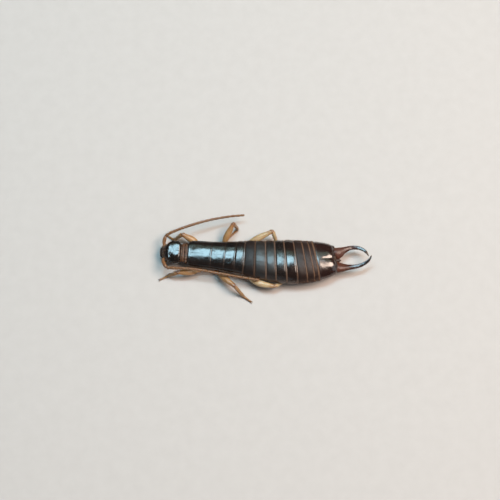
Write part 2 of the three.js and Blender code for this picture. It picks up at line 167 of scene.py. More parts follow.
class Shape:
    """Gathers closed pieces of surface, then makes one mesh object of them."""

    def __init__(self):
        self.v, self.f, self.m, self.uv, self.attr, self.n = [], [], [], [], {}, 0

    def add(self, V, faces, mat=0, closed=True, **attr):
        V = np.asarray(V, float).reshape(-1, 3)
        k = len(V)
        if closed:
            vol = 0.0
            for F in faces:
                for c in range(1, F.shape[1] - 1):
                    a, b, d = V[F[:, 0]], V[F[:, c]], V[F[:, c + 1]]
                    vol += np.einsum("ij,ij->i", a, np.cross(b, d)).sum()
            if vol < 0:
                faces = [F[:, ::-1] for F in faces]
        for name in set(self.attr) | set(attr):
            self.attr.setdefault(name, [np.zeros(self.n)])
            val = np.asarray(attr.get(name, 0.0), float)
            self.attr[name].append(np.full(k, float(val)) if val.ndim == 0 else val.reshape(-1))
        self.v.append(V)
        for F in faces:
            self.f.append(F + self.n)
            self.m.append(np.full(len(F), mat))
        self.n += k

    def tube(self, P, mat=0, **attr):
        """Rings of points, closed round and capped at both ends."""
        nu, nv, _ = P.shape
        k, j = nu * nv, np.arange(nv)
        V = np.vstack([P.reshape(-1, 3), P[0].mean(0), P[-1].mean(0)])
        tri = np.vstack([
            np.stack([np.full(nv, k), (j + 1) % nv, j], 1),
            np.stack([np.full(nv, k + 1), (nu - 1) * nv + j, (nu - 1) * nv + (j + 1) % nv], 1),
        ])
        a = {}
        for n, x in attr.items():
            x = np.broadcast_to(np.asarray(x, float), (nu, nv)) if np.ndim(x) != 1 else np.repeat(np.asarray(x, float)[:, None], nv, 1)
            a[n] = np.concatenate([x.reshape(-1), [x[0].mean(), x[-1].mean()]])
        self.add(V, [quads(nu, nv, True), tri], mat, **a)
        return P

    def shell(self, P, thick, mat=0, **attr):
        """A sheet of points given a thickness inward, closed round its edge."""
        nu, nv, _ = P.shape
        N = normals(P)
        Q = P - N * (np.asarray(thick)[..., None] if np.ndim(thick) else thick)
        K = nu * nv
        top = quads(nu, nv)
        i, j = np.arange(nu - 1), np.arange(nv - 1)
        a = i * nv
        b = i * nv + nv - 1
        l = (nu - 1) * nv + j
        edge = np.vstack([
            np.stack([a, a + nv, K + a + nv, K + a], 1),
            np.stack([b + nv, b, K + b, K + b + nv], 1),
            np.stack([j + 1, j, K + j, K + j + 1], 1),
            np.stack([l, l + 1, K + l + 1, K + l], 1),
        ])
        at = {}
        for n, x in attr.items():
            x = np.broadcast_to(np.asarray(x, float), (nu, nv)).reshape(-1)
            at[n] = np.concatenate([x, x])
        self.add(np.vstack([P.reshape(-1, 3), Q.reshape(-1, 3)]), [top, top[:, ::-1] + K, edge], mat, **at)
        return P

    def make(self, name, mats, replaces=(), uv=None):
        V = ((np.vstack(self.v) - CENTRE) * MM).astype(np.float32)
        loops = np.concatenate([f.reshape(-1) for f in self.f]).astype(np.int32)
        sizes = np.concatenate([np.full(len(f), f.shape[1]) for f in self.f])
        me = bpy.data.meshes.new(name)
        me.vertices.add(len(V))
        me.vertices.foreach_set("co", V.ravel())
        me.loops.add(len(loops))
        me.loops.foreach_set("vertex_index", loops)
        me.polygons.add(len(sizes))
        me.polygons.foreach_set("loop_start", np.concatenate([[0], np.cumsum(sizes)[:-1]]).astype(np.int32))
        me.polygons.foreach_set("material_index", np.concatenate(self.m).astype(np.int32))
        me.polygons.foreach_set("use_smooth", np.ones(len(sizes), bool))
        me.update(calc_edges=True)
        for n, parts in self.attr.items():
            at = me.attributes.new(n, "FLOAT", "POINT")
            at.data.foreach_set("value", np.concatenate(parts).astype(np.float32))
        if uv is not None:
            layer = me.uv_layers.new(name="OFBake")
            layer.data.foreach_set("uv", uv[loops].astype(np.float32).ravel())
        for m in mats:
            me.materials.append(m)
        o = bpy.data.objects.new(name, me)
        bpy.context.scene.collection.objects.link(o)
        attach(o, "root")
        if replaces:
            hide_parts(*replaces)
        return o


# ------------------------------------------------------------------ materials
def nodes_of(name):
    m = bpy.data.materials.new(name)
    m.use_nodes = True
    nt = m.node_tree
    nt.nodes.clear()
    out = nt.nodes.new("ShaderNodeOutputMaterial")
    sh = nt.nodes.new("ShaderNodeBsdfPrincipled")
    nt.links.new(sh.outputs[0], out.inputs[0])
    return m, nt, sh


class Kit:
    """Short names for the nodes of one material."""

    def __init__(self, nt):
        self.nt = nt
        self.tc = nt.nodes.new("ShaderNodeTexCoord").outputs["Object"]

    def put(self, socket, value):
        if hasattr(value, "is_output") or isinstance(value, bpy.types.NodeSocket):
            self.nt.links.new(value, socket)
        else:
            socket.default_value = value

    def noise(self, scale, detail=4, rough=0.55, at=None, distort=0.0):
        n = self.nt.nodes.new("ShaderNodeTexNoise")
        self.nt.links.new(at or self.tc, n.inputs["Vector"])
        n.inputs["Scale"].default_value = scale
        n.inputs["Detail"].default_value = detail
        n.inputs["Roughness"].default_value = rough
        n.inputs["Distortion"].default_value = distort
        return n.outputs[0]

    def cells(self, scale, feature="F1", at=None):
        n = self.nt.nodes.new("ShaderNodeTexVoronoi")
        n.feature = feature
        self.nt.links.new(at or self.tc, n.inputs["Vector"])
        n.inputs["Scale"].default_value = scale
        return n.outputs["Distance"]

    def stretched(self, sx, sy, sz):
        n = self.nt.nodes.new("ShaderNodeMapping")
        n.inputs["Scale"].default_value = (sx, sy, sz)
        self.nt.links.new(self.tc, n.inputs["Vector"])
        return n.outputs[0]

    def attr(self, name):
        n = self.nt.nodes.new("ShaderNodeAttribute")
        n.attribute_name = name
        return n.outputs["Fac"]

    def math(self, op, a, b=0.0, clamp=False):
        n = self.nt.nodes.new("ShaderNodeMath")
        n.operation = op
        n.use_clamp = clamp
        self.put(n.inputs[0], a)
        self.put(n.inputs[1], b)
        return n.outputs[0]

    def span(self, x, a, b, c, d):
        n = self.nt.nodes.new("ShaderNodeMapRange")
        self.put(n.inputs[0], x)
        for i, v in enumerate((a, b, c, d)):
            n.inputs[i + 1].default_value = v
        return n.outputs[0]

    def mix(self, fac, a, b):
        n = self.nt.nodes.new("ShaderNodeMix")
        n.data_type = "RGBA"
        self.put(n.inputs[0], fac)
        self.put(n.inputs[6], a if not isinstance(a, tuple) else (*a, 1.0))
        self.put(n.inputs[7], b if not isinstance(b, tuple) else (*b, 1.0))
        return n.outputs[2]

    def bump(self, height, distance, strength=1.0, after=None):
        n = self.nt.nodes.new("ShaderNodeBump")
        self.put(n.inputs["Height"], height)
        n.inputs["Distance"].default_value = distance
        n.inputs["Strength"].default_value = strength
        if after is not None:
            self.nt.links.new(after, n.inputs["Normal"])
        return n.outputs[0]


def chitin(name, dark, warm, rear, flank, rim, rough=(0.15, 0.3), cell=24000, relief=1.6e-6, coat=0.5, sub=0.0, rimrough=0.16, spec=0.5):
    """Shell: dark and polished, warmer in patches, redder at the tail, brown on the flanks, pale at the thin rims."""
    m, nt, sh = nodes_of(name)
    k = Kit(nt)
    broad = k.noise(1500, 5, 0.6)
    fine = k.noise(11000, 5, 0.6)
    cells = k.cells(cell)
    col = k.mix(k.span(broad, 0.38, 0.68, 0.0, 1.0), dark, warm)
    col = k.mix(k.math("MULTIPLY", k.attr("rear"), k.span(broad, 0.3, 0.7, 0.75, 1.0), True), col, rear)
    col = k.mix(k.math("MULTIPLY", k.attr("flank"), k.span(fine, 0.3, 0.7, 0.6, 1.0), True), col, flank)
    col = k.mix(k.math("MULTIPLY", k.attr("rim"), k.span(fine, 0.25, 0.75, 0.65, 1.0), True), col, rim)
    col = k.mix(k.span(cells, 0.0, 0.6, 0.22, 0.0), col, dark)
    k.put(sh.inputs["Base Color"], col)
    r = k.span(fine, 0.3, 0.75, rough[0], rough[1])
    r = k.math("ADD", r, k.math("MULTIPLY", k.attr("dull"), 0.13))
    r = k.math("ADD", r, k.math("MULTIPLY", k.attr("rim"), rimrough))
    r = k.math("ADD", r, k.math("MULTIPLY", k.attr("flank"), 0.08))
    k.put(sh.inputs["Roughness"], r)
    b = k.bump(k.cells(cell, "DISTANCE_TO_EDGE"), relief, 0.6)
    b = k.bump(fine, relief * 3.0, 0.5, b)
    b = k.bump(k.noise(4200, 3, 0.5), 6e-6, 0.4, b)
    k.put(sh.inputs["Normal"], b)
    sh.inputs["IOR"].default_value = 1.56
    sh.inputs["Specular IOR Level"].default_value = spec
    sh.inputs["Coat Weight"].default_value = coat
    sh.inputs["Coat Roughness"].default_value = 0.1
    if sub:
        sh.inputs["Subsurface Weight"].default_value = sub
        sh.inputs["Subsurface Radius"].default_value = (1.0, 0.35, 0.12)
        sh.inputs["Subsurface Scale"].default_value = 0.00025
    return m


def straw(name, pale, tan, amber, dark, sub=0.25, rough=(0.28, 0.42), grain=None):
    """Leg shell: straw-coloured, clouded, amber and darker towards the joints, a little see-through."""
    m, nt, sh = nodes_of(name)
    k = Kit(nt)
    broad = k.noise(2200, 5, 0.6, distort=0.4)
    fine = k.noise(14000, 4, 0.6)
    col = k.mix(k.span(broad, 0.35, 0.7, 0.0, 1.0), pale, tan)
    col = k.mix(k.math("MULTIPLY", k.attr("joint"), k.span(fine, 0.2, 0.8, 0.7, 1.0), True), col, amber)
    col = k.mix(k.attr("seam"), col, dark)
    col = k.mix(k.span(fine, 0.5, 0.8, 0.0, 0.22), col, amber)
    k.put(sh.inputs["Base Color"], col)
    k.put(sh.inputs["Roughness"], k.span(fine, 0.3, 0.75, rough[0], rough[1]))
    b = k.bump(k.cells(26000, "DISTANCE_TO_EDGE"), 1.5e-6, 0.6)
    b = k.bump(fine, 5e-6, 0.5, b)
    b = k.bump(broad, 1.4e-5, 0.35, b)
    k.put(sh.inputs["Normal"], b)
    sh.inputs["IOR"].default_value = 1.5
    sh.inputs["Coat Weight"].default_value = 0.25
    sh.inputs["Coat Roughness"].default_value = 0.2
    sh.inputs["Subsurface Weight"].default_value = sub
    sh.inputs["Subsurface Radius"].default_value = (1.0, 0.5, 0.22)
    sh.inputs["Subsurface Scale"].default_value = 0.0002
    return m


def skin_material(name):
    m, nt, sh = nodes_of(name)
    k = Kit(nt)
    broad = k.noise(1900, 5, 0.65, distort=0.6)
    folds = k.noise(5200, 5, 0.6, at=k.stretched(1.0, 0.22, 0.22), distort=0.8)
    grain = k.cells(17000)
    col = k.mix(k.span(broad, 0.35, 0.68, 0.0, 1.0), (0.052, 0.0185, 0.0075), (0.15, 0.062, 0.022))
    # painted shade: the troughs of the fold bump are painted darker, standing in for shade in the creases
    col = k.mix(k.span(folds, 0.42, 0.6, 0.75, 0.0), col, (0.018, 0.009, 0.006))
    col = k.mix(k.span(grain, 0.0, 0.35, 0.5, 0.0), col, (0.17, 0.09, 0.048))
    k.put(sh.inputs["Base Color"], col)
    k.put(sh.inputs["Roughness"], k.span(folds, 0.3, 0.7, 0.34, 0.62))
    sh.inputs["Specular IOR Level"].default_value = 0.45
    b = k.bump(folds, 2.6e-5, 0.8)
    b = k.bump(grain, 6e-6, 0.8, b)
    k.put(sh.inputs["Normal"], b)
    sh.inputs["Subsurface Weight"].default_value = 0.12
    sh.inputs["Subsurface Radius"].default_value = (1.0, 0.4, 0.2)
    sh.inputs["Subsurface Scale"].default_value = 0.0002
    return m


def hair_material(name, root, tip):
    m, nt, sh = nodes_of(name)
    k = Kit(nt)
    n = k.noise(6000, 2, 0.5)
    col = k.mix(k.attr("along"), root, tip)
    col = k.mix(k.span(n, 0.35, 0.7, 0.0, 0.35), col, (0.05, 0.02, 0.01))
    k.put(sh.inputs["Base Color"], col)
    k.put(sh.inputs["Roughness"], k.span(n, 0.3, 0.7, 0.34, 0.5))
    sh.inputs["IOR"].default_value = 1.55
    return m


def eye_material(name):
    m, nt, sh = nodes_of(name)
    k = Kit(nt)
    n = k.noise(9000, 4, 0.6)
    col = k.mix(k.span(n, 0.35, 0.7, 0.0, 1.0), (0.006, 0.005, 0.005), (0.02, 0.012, 0.009))
    col = k.mix(k.attr("gap"), col, (0.002, 0.002, 0.002))
    k.put(sh.inputs["Base Color"], col)
    k.put(sh.inputs["Roughness"], k.span(n, 0.3, 0.7, 0.14, 0.26))
    k.put(sh.inputs["Normal"], k.bump(k.cells(60000), 6e-7, 0.4))
    sh.inputs["Coat Weight"].default_value = 0.6
    sh.inputs["Coat Roughness"].default_value = 0.08
    return m


BLACK = chitin("shell_black", (0.0055, 0.004, 0.0036), (0.013, 0.007, 0.0052), (0.024, 0.008, 0.0055), (0.07, 0.031, 0.017), (0.12, 0.062, 0.036), rough=(0.12, 0.24), coat=0.18)
RED = chitin("shell_red", (0.006, 0.0028, 0.0022), (0.013, 0.0048, 0.0032), (0.019, 0.0058, 0.0038), (0.07, 0.024, 0.013), (0.14, 0.07, 0.042), rough=(0.14, 0.26), coat=0.7, sub=0.03)
PINCER = chitin("forceps_red", (0.032, 0.0075, 0.005), (0.08, 0.019, 0.0095), (0.085, 0.021, 0.011), (0.085, 0.023, 0.012), (0.0075, 0.005, 0.0045), rough=(0.15, 0.24), cell=30000, relief=1.0e-6, coat=0.18, sub=0.08, rimrough=-0.09, spec=0.31)
DUSTY = chitin("shell_dusty", (0.0075, 0.0045, 0.0038), (0.016, 0.0078, 0.0055), (0.022, 0.0085, 0.006), (0.075, 0.03, 0.017), (0.15, 0.077, 0.043), rough=(0.38, 0.54), coat=0.0, spec=0.26)
UNDER = chitin("shell_under", (0.03, 0.014, 0.009), (0.075, 0.035, 0.02), (0.085, 0.026, 0.014), (0.1, 0.05, 0.028), (0.24, 0.14, 0.08), rough=(0.2, 0.36), coat=0.3)
MOUTH = chitin("mouth_brown", (0.009, 0.0046, 0.0036), (0.02, 0.009, 0.0058), (0.04, 0.014, 0.008), (0.026, 0.0115, 0.007), (0.008, 0.0045, 0.004), rough=(0.34, 0.5), cell=30000, coat=0.0, sub=0.05, spec=0.32, rimrough=-0.1)
STRAW = straw("leg_straw", (0.385, 0.226, 0.1), (0.3, 0.157, 0.062), (0.25, 0.097, 0.029), (0.085, 0.036, 0.015))
PALE = straw("leg_pale", (0.53, 0.4, 0.235), (0.43, 0.295, 0.152), (0.33, 0.155, 0.056), (0.1, 0.042, 0.018))
FEELER = straw("antenna_brown", (0.215, 0.101, 0.041), (0.15, 0.062, 0.025), (0.28, 0.15, 0.07), (0.07, 0.028, 0.013), sub=0.1, rough=(0.34, 0.5))
SKIN = skin_material("membrane")
EYE = eye_material("eye_black")
GOLD = hair_material("setae_gold", (0.2, 0.1, 0.045), (0.42, 0.27, 0.14))
BROWN = hair_material("setae_brown", (0.07, 0.03, 0.014), (0.2, 0.11, 0.055))

# ------------------------------------------------------------------ trunk
PATCH = {}  # named surfaces that hairs grow on: points, normals, weights


def place(at, y, z):
    """A point of the trunk: y to the side of the bent midline at x = at, z up."""
    a = np.radians(tab(TURN, at))
    return np.stack(np.broadcast_arrays(at - y * np.sin(a), tab(AXIS, at) + y * np.cos(a), z), -1)


def outline(t, over, under):
    c, s = np.cos(t), np.sin(t)
    e = np.where(s >= 0, over, under)
    return np.sign(c) * np.abs(c) ** (2 / e), np.sign(s) * np.abs(s) ** (2 / e)


def trunk(x, t, grow=0.0, under=2.0):
    """Outer surface of the trunk at x and angle t round it, moved out by grow."""
    xc = np.clip(x, -7.36, 6.65)
    half, back, side, belly = tab(HALF, xc), tab(BACK, xc), tab(SIDE, xc), tab(BELLY, xc)
    cy, sz = outline(t, tab(CREST, xc), under)
    y = (half + grow) * cy
    z = side + np.where(sz >= 0, (back - side + grow), (side - belly + grow)) * sz
    return place(x, y, z), y, z


def spread(a, b, n, dense=(), w=0.08):
    """n samples from a to b, closer together near the dense places."""
    u = np.linspace(a, b, 2000)
    rate = np.ones_like(u)
    for c in dense:
        rate += 3.0 * bell(u, c, w)
    s = np.concatenate([[0], np.cumsum((rate[1:] + rate[:-1]) / 2)])
    return np.interp(np.linspace(0, s[-1], n), s, u)


def rear_of(x):
    return ease(1.2, 5.0, x)


def tergite(shape, number, x0, x1):
    L = x1 - x0
    last = number == 10
    d = spread(-0.13 if number > 1 else -0.1, L + (0.07 if not last else 0.05), 64 if not last else 110, (L - 0.08, 0.02), 0.07)
    t = spread(np.radians(-16), np.radians(196), 150, (0.0, PI), 0.16)
    D, T = np.meshgrid(d, t, indexing="ij")
    lat = np.degrees(np.minimum(T, PI - T))  # 0 on the side line, 90 on the back
    g = -0.085 * (1 - ease(-0.13, 0.18 * min(L, 1.0), D))
    arch = [0.014, 0.03, 0.042, 0.046, 0.042, 0.032, 0.03, 0.022, 0.014, 0.01][number - 1]
    g += (0.045 if number == 2 else 0.0) * D / L
    g += arch * np.sin(PI * np.clip(D / L, 0, 1) ** 0.62)
    g -= 0.008 * bell(D, L - 0.12, 0.025)
    g += 0.008 * ease(L - 0.11, L - 0.05, D)
    g -= 0.035 * ease(L + 0.0, L + 0.08, D) ** 2
    g -= 0.035 * ease(-2, -16, lat)
    if 6 <= number <= 9:  # the male's keeled flanks
        keel = {6: 0.5, 7: 0.9, 8: 1.0, 9: 0.8}[number]
        g += keel * 0.055 * bell(lat, 7, 7) * ease(0.05, L, D)
        g -= keel * 0.03 * bell(lat, 24, 8) * ease(0.0, L, D)
    if 2 <= number <= 4:  # a small fold on each flank
        g += 0.025 * bell(lat, 20, 5) * bell(D, 0.62 * L, 0.2)
    x = x0 + D + 0.03 * np.sin(np.radians(np.clip(lat, 0, 90))) * ease(0.5 * L, L, D) - 0.015
    P, y, z = trunk(x, T, g)
    wide = tab(HALF, np.clip(x, -7.36, 6.65))
    P[..., 2] -= 0.055 * y * np.clip(1 - (y / wide) ** 4, 0, 1) * ease(-2.6, 0.4, x) * ease(7.6, 6.3, x)  # lies a little twisted
    if last:
        off = y
        top = ease(1.1, 1.45, z)
        P[..., 2] -= 0.026 * bell(off, 0, 0.13) * ease(0.35, 0.9, D) * top
        P[..., 2] += 0.045 * (bell(off, 0.6, 0.42) + bell(off, -0.6, 0.42)) * bell(D, 1.42, 0.45) * top
        P[..., 2] -= 0.16 * ease(L - 0.3, L + 0.06, D) * ease(6, 40, lat)
        P[..., 0] -= 0.1 * bell(off, 0, 0.4) * ease(L - 0.4, L, D)
    P = P + normals(P) * ((0.0015 if last else 0.0035) * wobble(P, 0.5, number))[..., None]
    rim = ease(L - 0.11, L - 0.05, D) if not last else ease(L - 0.02, L + 0.03, D) * 0.3
    rim = rim * (0.6 + 0.4 * ease(0, 40, lat)) * (0.38 if number < 3 else 1.0)
    dull = [0.45, 0.1, 2.3, 1.8, 0.6, -0.15, 0.0, 0.1, 0.1, 0.2][number - 1] + (1.2 * ease(0.4, 0.0, D) - 0.4 * ease(0.6, 1.0, D) if last else 0.0)
    flank = ease(34, 2, lat) * 0.9
    shape.shell(P, 0.028, 0, rim=rim, flank=flank, rear=rear_of(x), dull=dull)
    w = (0.05 + 1.6 * ease(40, 0, lat) + 0.5 * ease(L - 0.2, L - 0.1, D) + (0.35 * ease(0.3, 1.4, D) if last else 0)) * ease(0.02, 0.12, D)
    PATCH["tergite_%d" % number] = (P, normals(P), w)


def sternite(shape, number, x0, x1):
    L = x1 - x0
    last = number == 10
    d = spread(-0.1, L + (0.07 if not last else -0.08), 44, (L - 0.08,), 0.08)
    t = spread(np.radians(205), np.radians(335), 90)
    D, T = np.meshgrid(d, t, indexing="ij")
    lat = np.degrees(np.minimum(T - PI, 2 * PI - T))
    g = -0.095 * (1 - ease(-0.1, 0.34 * L + 0.04, D)) - 0.015
    g -= 0.012 * bell(D, L - 0.13, 0.03)
    g -= 0.03 * ease(L, L + 0.08, D) ** 2
    g -= 0.05 * ease(34, 25, lat)
    P, y, z = trunk(x0 + D, T, g)
    P = P + normals(P) * (0.004 * wobble(P, 0.6, 40 + number))[..., None]
    shape.shell(P, 0.024, 1, rim=0.7 * ease(L - 0.12, L - 0.06, D), flank=ease(60, 26, lat), rear=rear_of(x0 + D))
    PATCH["sternite_%d" % number] = (P, normals(P), (0.25 + ease(L - 0.25, L - 0.1, D)) * ease(0.02, 0.1, D))


def notum(shape, name, x0, x1):
    """Back plate of one ring of the thorax."""
    L = x1 - x0
    first = name == "prothorax"
    tail = {"prothorax": 0.07, "mesothorax": 0.07, "metathorax": 0.05}[name]
    d = spread(0.0 if first else -0.12, L + tail, 110 if first else 72, (L - 0.06, 0.04), 0.08)
    t = spread(np.radians(2 if first else -6), np.radians(178 if first else 186), 170, (0.05, PI / 2, PI - 0.05), 0.1)
    D, T = np.meshgrid(d, t, indexing="ij")
    lat = np.degrees(np.minimum(T, PI - T))
    g = 0 * D if first else -0.06 * (1 - ease(-0.12, 0.1, D))
    if first:
        g = g + 0.05 * np.clip(1 - D / 1.4, 0, 1) ** 2 * ease(0, 60, lat)
        g = g - 0.05 * ease(0.1, 0.0, D) ** 2
        g += 0.003 * bell(D, 0.07, 0.05)
        g -= 0.002 * bell(D, 0.2, 0.07)
    g += 0.006 * np.sin(PI * np.clip(D / L, 0, 1))
    g -= 0.006 * bell(D, L - 0.1, 0.03)
    g += 0.005 * ease(L - 0.09, L - 0.04, D)
    g -= 0.035 * ease(L - 0.01, L + tail, D) ** 2
    P, y, z = trunk(x0 + D, T, g, 1.8)
    flat = ease(26, 4, lat)  # thin side margin, turned up a little
    if first:
        P[..., 2] += 0.035 * ease(16, 3, lat) - 0.03 * bell(lat, 24, 8)
        P[..., 2] -= 0.0045 * bell(y, 0, 0.013) * ease(0.1, 0.3, D) * ease(0.78 * L, 0.6 * L, D)
        P[..., 2] -= 0.005 * (bell(y, 0.55, 0.2) + bell(y, -0.55, 0.2)) * bell(D, 0.5, 0.2)
        P[..., 2] -= 0.008 * bell(D, 0.7 * L, 0.2) * ease(10, 40, lat)
        corner = ease(0.75, 0.0, D / 0.5) * ease(45, 0, lat)
        P[..., 0] += 0.1 * corner
    else:
        P[..., 2] += 0.02 * ease(12, 2, lat) - 0.018 * bell(lat, 20, 7)
        P[..., 2] -= 0.006 * bell(y, 0, 0.014) * ease(0.05, 0.2, D) * ease(0.9 * L, 0.7 * L, D)
        P[..., 2] += 0.008 * (bell(y, 0.82, 0.1) + bell(y, -0.82, 0.1)) * ease(0.2, 0.5, D) * ease(L, 0.8 * L, D)
        if name == "metathorax":
            P[..., 0] -= 0.04 * bell(y, 0, 0.75) * ease(L - 0.5, L, D)
    P = P + normals(P) * (0.003 * wobble(P, 0.45, int(L * 100)))[..., None]
    rim = 0.2 * ease(L - 0.03, L + 0.02, D)
    rim = np.maximum(rim, 0.35 * ease(7, 3, lat))
    shape.shell(P, 0.032, 0, rim=rim, flank=0.75 * ease(24, 4, lat), rear=0 * D, dull=0.0)
    PATCH[name + "_back"] = (P, normals(P), (0.02 + 1.2 * ease(16, 2, lat)) * ease(0.02, 0.12, D))


def breast(shape, name, x0, x1):
    """Side and breast plates of one ring of the thorax."""
    L = x1 - x0
    d = spread(0.03, L + 0.01, 60)
    t = spread(np.radians(188), np.radians(352), 170, tuple(np.radians([210, 238, 270, 302, 330])), 0.06)
    D, T = np.meshgrid(d, t, indexing="ij")
    deg = np.degrees(T)
    lat = np.minimum(deg - 180, 360 - deg)
    g = -0.055 - 0.05 * ease(0.12, 0.0, D) - 0.05 * ease(L - 0.1, L, D)
    g -= 0.026 * bell(lat, 30, 3.6)  # seam of side plate and shoulder plate
    g -= 0.034 * bell(lat, 58, 4.2)  # seam of shoulder and breast plate
    g -= 0.016 * bell(deg, 270, 2.2) * ease(0.1, 0.4, D)
    g += 0.02 * bell(lat, 44, 9) * np.sin(PI * np.clip(D / L, 0, 1))
    g += 0.02 * bell(lat, 80, 12) * np.sin(PI * np.clip(D / L, 0, 1))
    P, y, z = trunk(x0 + D, T, g, 1.6)
    P = P + normals(P) * (0.006 * wobble(P, 0.4, int(L * 77)))[..., None]
    seam = np.clip(bell(lat, 30, 3.6) + bell(lat, 58, 4.2), 0, 1)
    shape.shell(P, 0.03, 1, rim=0.25 * seam, flank=ease(10, 50, lat), rear=0 * D)
    PATCH[name + "_breast"] = (P, normals(P), 0.4 + 0 * D)


for name, x0, x1 in THORAX:
    s = Shape()
    notum(s, name, x0, x1)
    breast(s, name, x0, x1)
    s.make(name + "_plates", [BLACK, UNDER], (name,))
for k in range(10):
    s = Shape()
    tergite(s, k + 1, ABDOMEN[k], ABDOMEN[k + 1])
    sternite(s, k + 1, ABDOMEN[k], ABDOMEN[k + 1])
    s.make("abdomen_%d_plates" % (k + 1), [DUSTY if k in (1, 6, 7, 8) else RED if k == 9 else BLACK, UNDER], ("abdomen_%d" % (k + 1),))

# One skin from the neck to the tail, inside the plates; it shows at the neck and between the plates of the flanks.
s = Shape()
x = spread(-8.16, 6.62, 430, (-7.7,), 0.3)
t = np.linspace(0, 2 * PI, 109)[:-1]
X, T = np.meshgrid(x, t, indexing="ij")
P, y, z = trunk(X, T, -0.125 - 0.012 * np.sin(X * 46) * ease(-7.2, -7.0, X), 1.9)
fold = np.interp(x, [-8.16, -8.0, -7.93, -7.86, -7.79, -7.72, -7.64, -7.56, -7.47, -7.38, -7.3], [0.0, 0.03, -0.015, 0.04, 0.0, -0.03, 0.02, 0.04, -0.01, -0.045, -0.03])
half = tab([[-8.16, 0.66], [-7.95, 0.84], [-7.72, 0.93], [-7.5, 0.98], [-7.25, 1.0]], x) + fold
tall = tab([[-8.16, 0.28], [-7.86, 0.34], [-7.5, 0.36], [-7.25, 0.4]], x) + fold * 0.8
cy, sz = outline(T, 2.2, 2.0)
Pn = place(X, half[:, None] * cy, 1.17 + tall[:, None] * sz)
w = ease(-7.42, -7.2, X)[..., None]
P = Pn * (1 - w) + P * w
end = ease(6.62, 6.25, X)[..., None] ** 0.5
mid = place(X, 0 * X, 1.2 + 0 * X)
P = mid + (P - mid) * (0.86 + 0.14 * end)
soft = ease(-7.2, -7.5, X)
P = P + normals(P, True) * ((0.022 * wobble(P, 0.3, 5) + 0.01 * wobble(P, 0.1, 6)) * soft)[..., None]
s.tube(P)
s.make("membrane", [SKIN], ("neck",))

# Small plates in the neck's skin: two pairs below.
s = Shape()
for sx, ang, lx, ly in [(-7.62, 238, 0.13, 0.14), (-7.62, 302, 0.13, 0.14), (-7.86, 250, 0.09, 0.12), (-7.86, 290, 0.09, 0.12)]:
    u = np.linspace(-1, 1, 26)
    A, B = np.meshgrid(u, u, indexing="ij")
    r = np.sqrt(A**2 + B**2)
    A2, B2 = A * np.sqrt(1 - B**2 / 2), B * np.sqrt(1 - A**2 / 2)
    xx = sx + A2 * lx
    tt = np.radians(ang) + B2 * ly * 1.3
    cy, sz = outline(tt, 2.2, 2.0)
    h = tab([[-8.16, 0.66], [-7.95, 0.84], [-7.72, 0.93], [-7.5, 0.98], [-7.25, 1.0]], xx)
    v = tab([[-8.16, 0.28], [-7.86, 0.34], [-7.5, 0.36], [-7.25, 0.4]], xx)
    lift = 0.026 + 0.01 * (1 - (A2**2 + B2**2))
    P = place(xx, (h + lift) * cy, 1.17 + (v + lift) * sz)
    s.shell(P, 0.03, 0, rim=0.3 * ease(0.75, 1.0, np.sqrt(A2**2 + B2**2)), flank=0.35 + 0 * A, dull=1.4)
s.make("neck_plates", [UNDER])


# ------------------------------------------------------------------ head
def head_ring(x, t, grow):
    half, back, belly = tab(HEAD_HALF, x), tab(HEAD_TOP, x), tab(HEAD_BELLY, x)
    close = np.sqrt(np.clip(1 - (ease(-9.6, -9.755, x) * 0.93) ** 2, 0, 1)) * np.sqrt(np.clip(1 - (np.clip((x + 8.16) / 0.19, 0, 1) * 0.86) ** 2, 0, 1))
    cy, sz = outline(t, 2.9, 2.1)
    return (half + grow) * cy * close, HEAD_SIDE + np.where(sz >= 0, back - HEAD_SIDE + grow, HEAD_SIDE - belly + grow) * sz * close


s = Shape()
x = spread(-9.755, -7.97, 200, (-9.72, -8.0), 0.06)
t = np.linspace(0, 2 * PI, 301)[:-1]
X, T = np.meshgrid(x, t, indexing="ij")
y0, z0 = head_ring(X, T, 0.0)
top = ease(1.16, 1.62, z0)
g = 0 * X
g += top * bell(X, -8.4, 0.32) * (0.006 * bell(y0, 0.5, 0.36) + 0.022 * bell(y0, -0.46, 0.3))
g += top * bell(X, -9.18, 0.2) * (0.012 * bell(y0, 0.5, 0.3) + 0.075 * bell(y0, -0.72, 0.22))
g += top * np.clip(1 - (y0 / 1.15) ** 4, 0, 1) * (0.15 * np.clip(y0, 0, 1) ** 2.9 - 0.003 * np.logaddexp(0, -(y0 + 0.12) / 0.05))  # carried a little aslant
arm = np.abs(np.abs(y0) + (X + 8.68) * 2.1) / 2.33  # the two front arms of the suture
arms = ease(-8.66, -8.7, X) * ease(0.86, 0.7, np.abs(y0))
g -= top * 0.006 * bell(arm, 0, 0.012) * arms
g -= 0.01 * top * bell(y0, 0, 0.013) * ease(-8.7, -8.66, X) * ease(-7.98, -8.06, X)
g -= 0.01 * top * bell(X + 0.05 * np.abs(y0), -9.5, 0.02) * ease(0.5, 0.42, np.abs(y0))
g -= 0.014 * bell(X, -8.07, 0.018)
ex, ez = (X - EYE_X) / 0.27, (z0 - EYE_Z) / 0.23
eye_r = np.sqrt(ex**2 + ez**2)
side = ease(0.55, 0.8, np.abs(y0))
g -= 0.05 * side * ease(0.95, 0.6, eye_r)
g += 0.018 * side * bell(eye_r, 1.0, 0.14)
g -= 0.02 * bell(z0, 0.86, 0.02) * ease(0.3, 0.6, np.abs(y0)) * ease(-8.2, -8.4, X)
g -= 0.02 * bell(np.abs(y0), 0.36, 0.02) * ease(0.9, 0.8, z0) * ease(-9.5, -9.3, X)
y, z = head_ring(X, T, g)
P = place(X, y, z)
P = P + normals(P, True) * (0.0018 * wobble(P, 0.34, 12))[..., None]
front = ease(-9.45, -9.56, X)
s.tube(P, flank=0.4 * front + 0.5 * ease(0.95, 0.75, z0), rim=0.15 * front * bell(X, -9.7, 0.05), rear=0 * X)
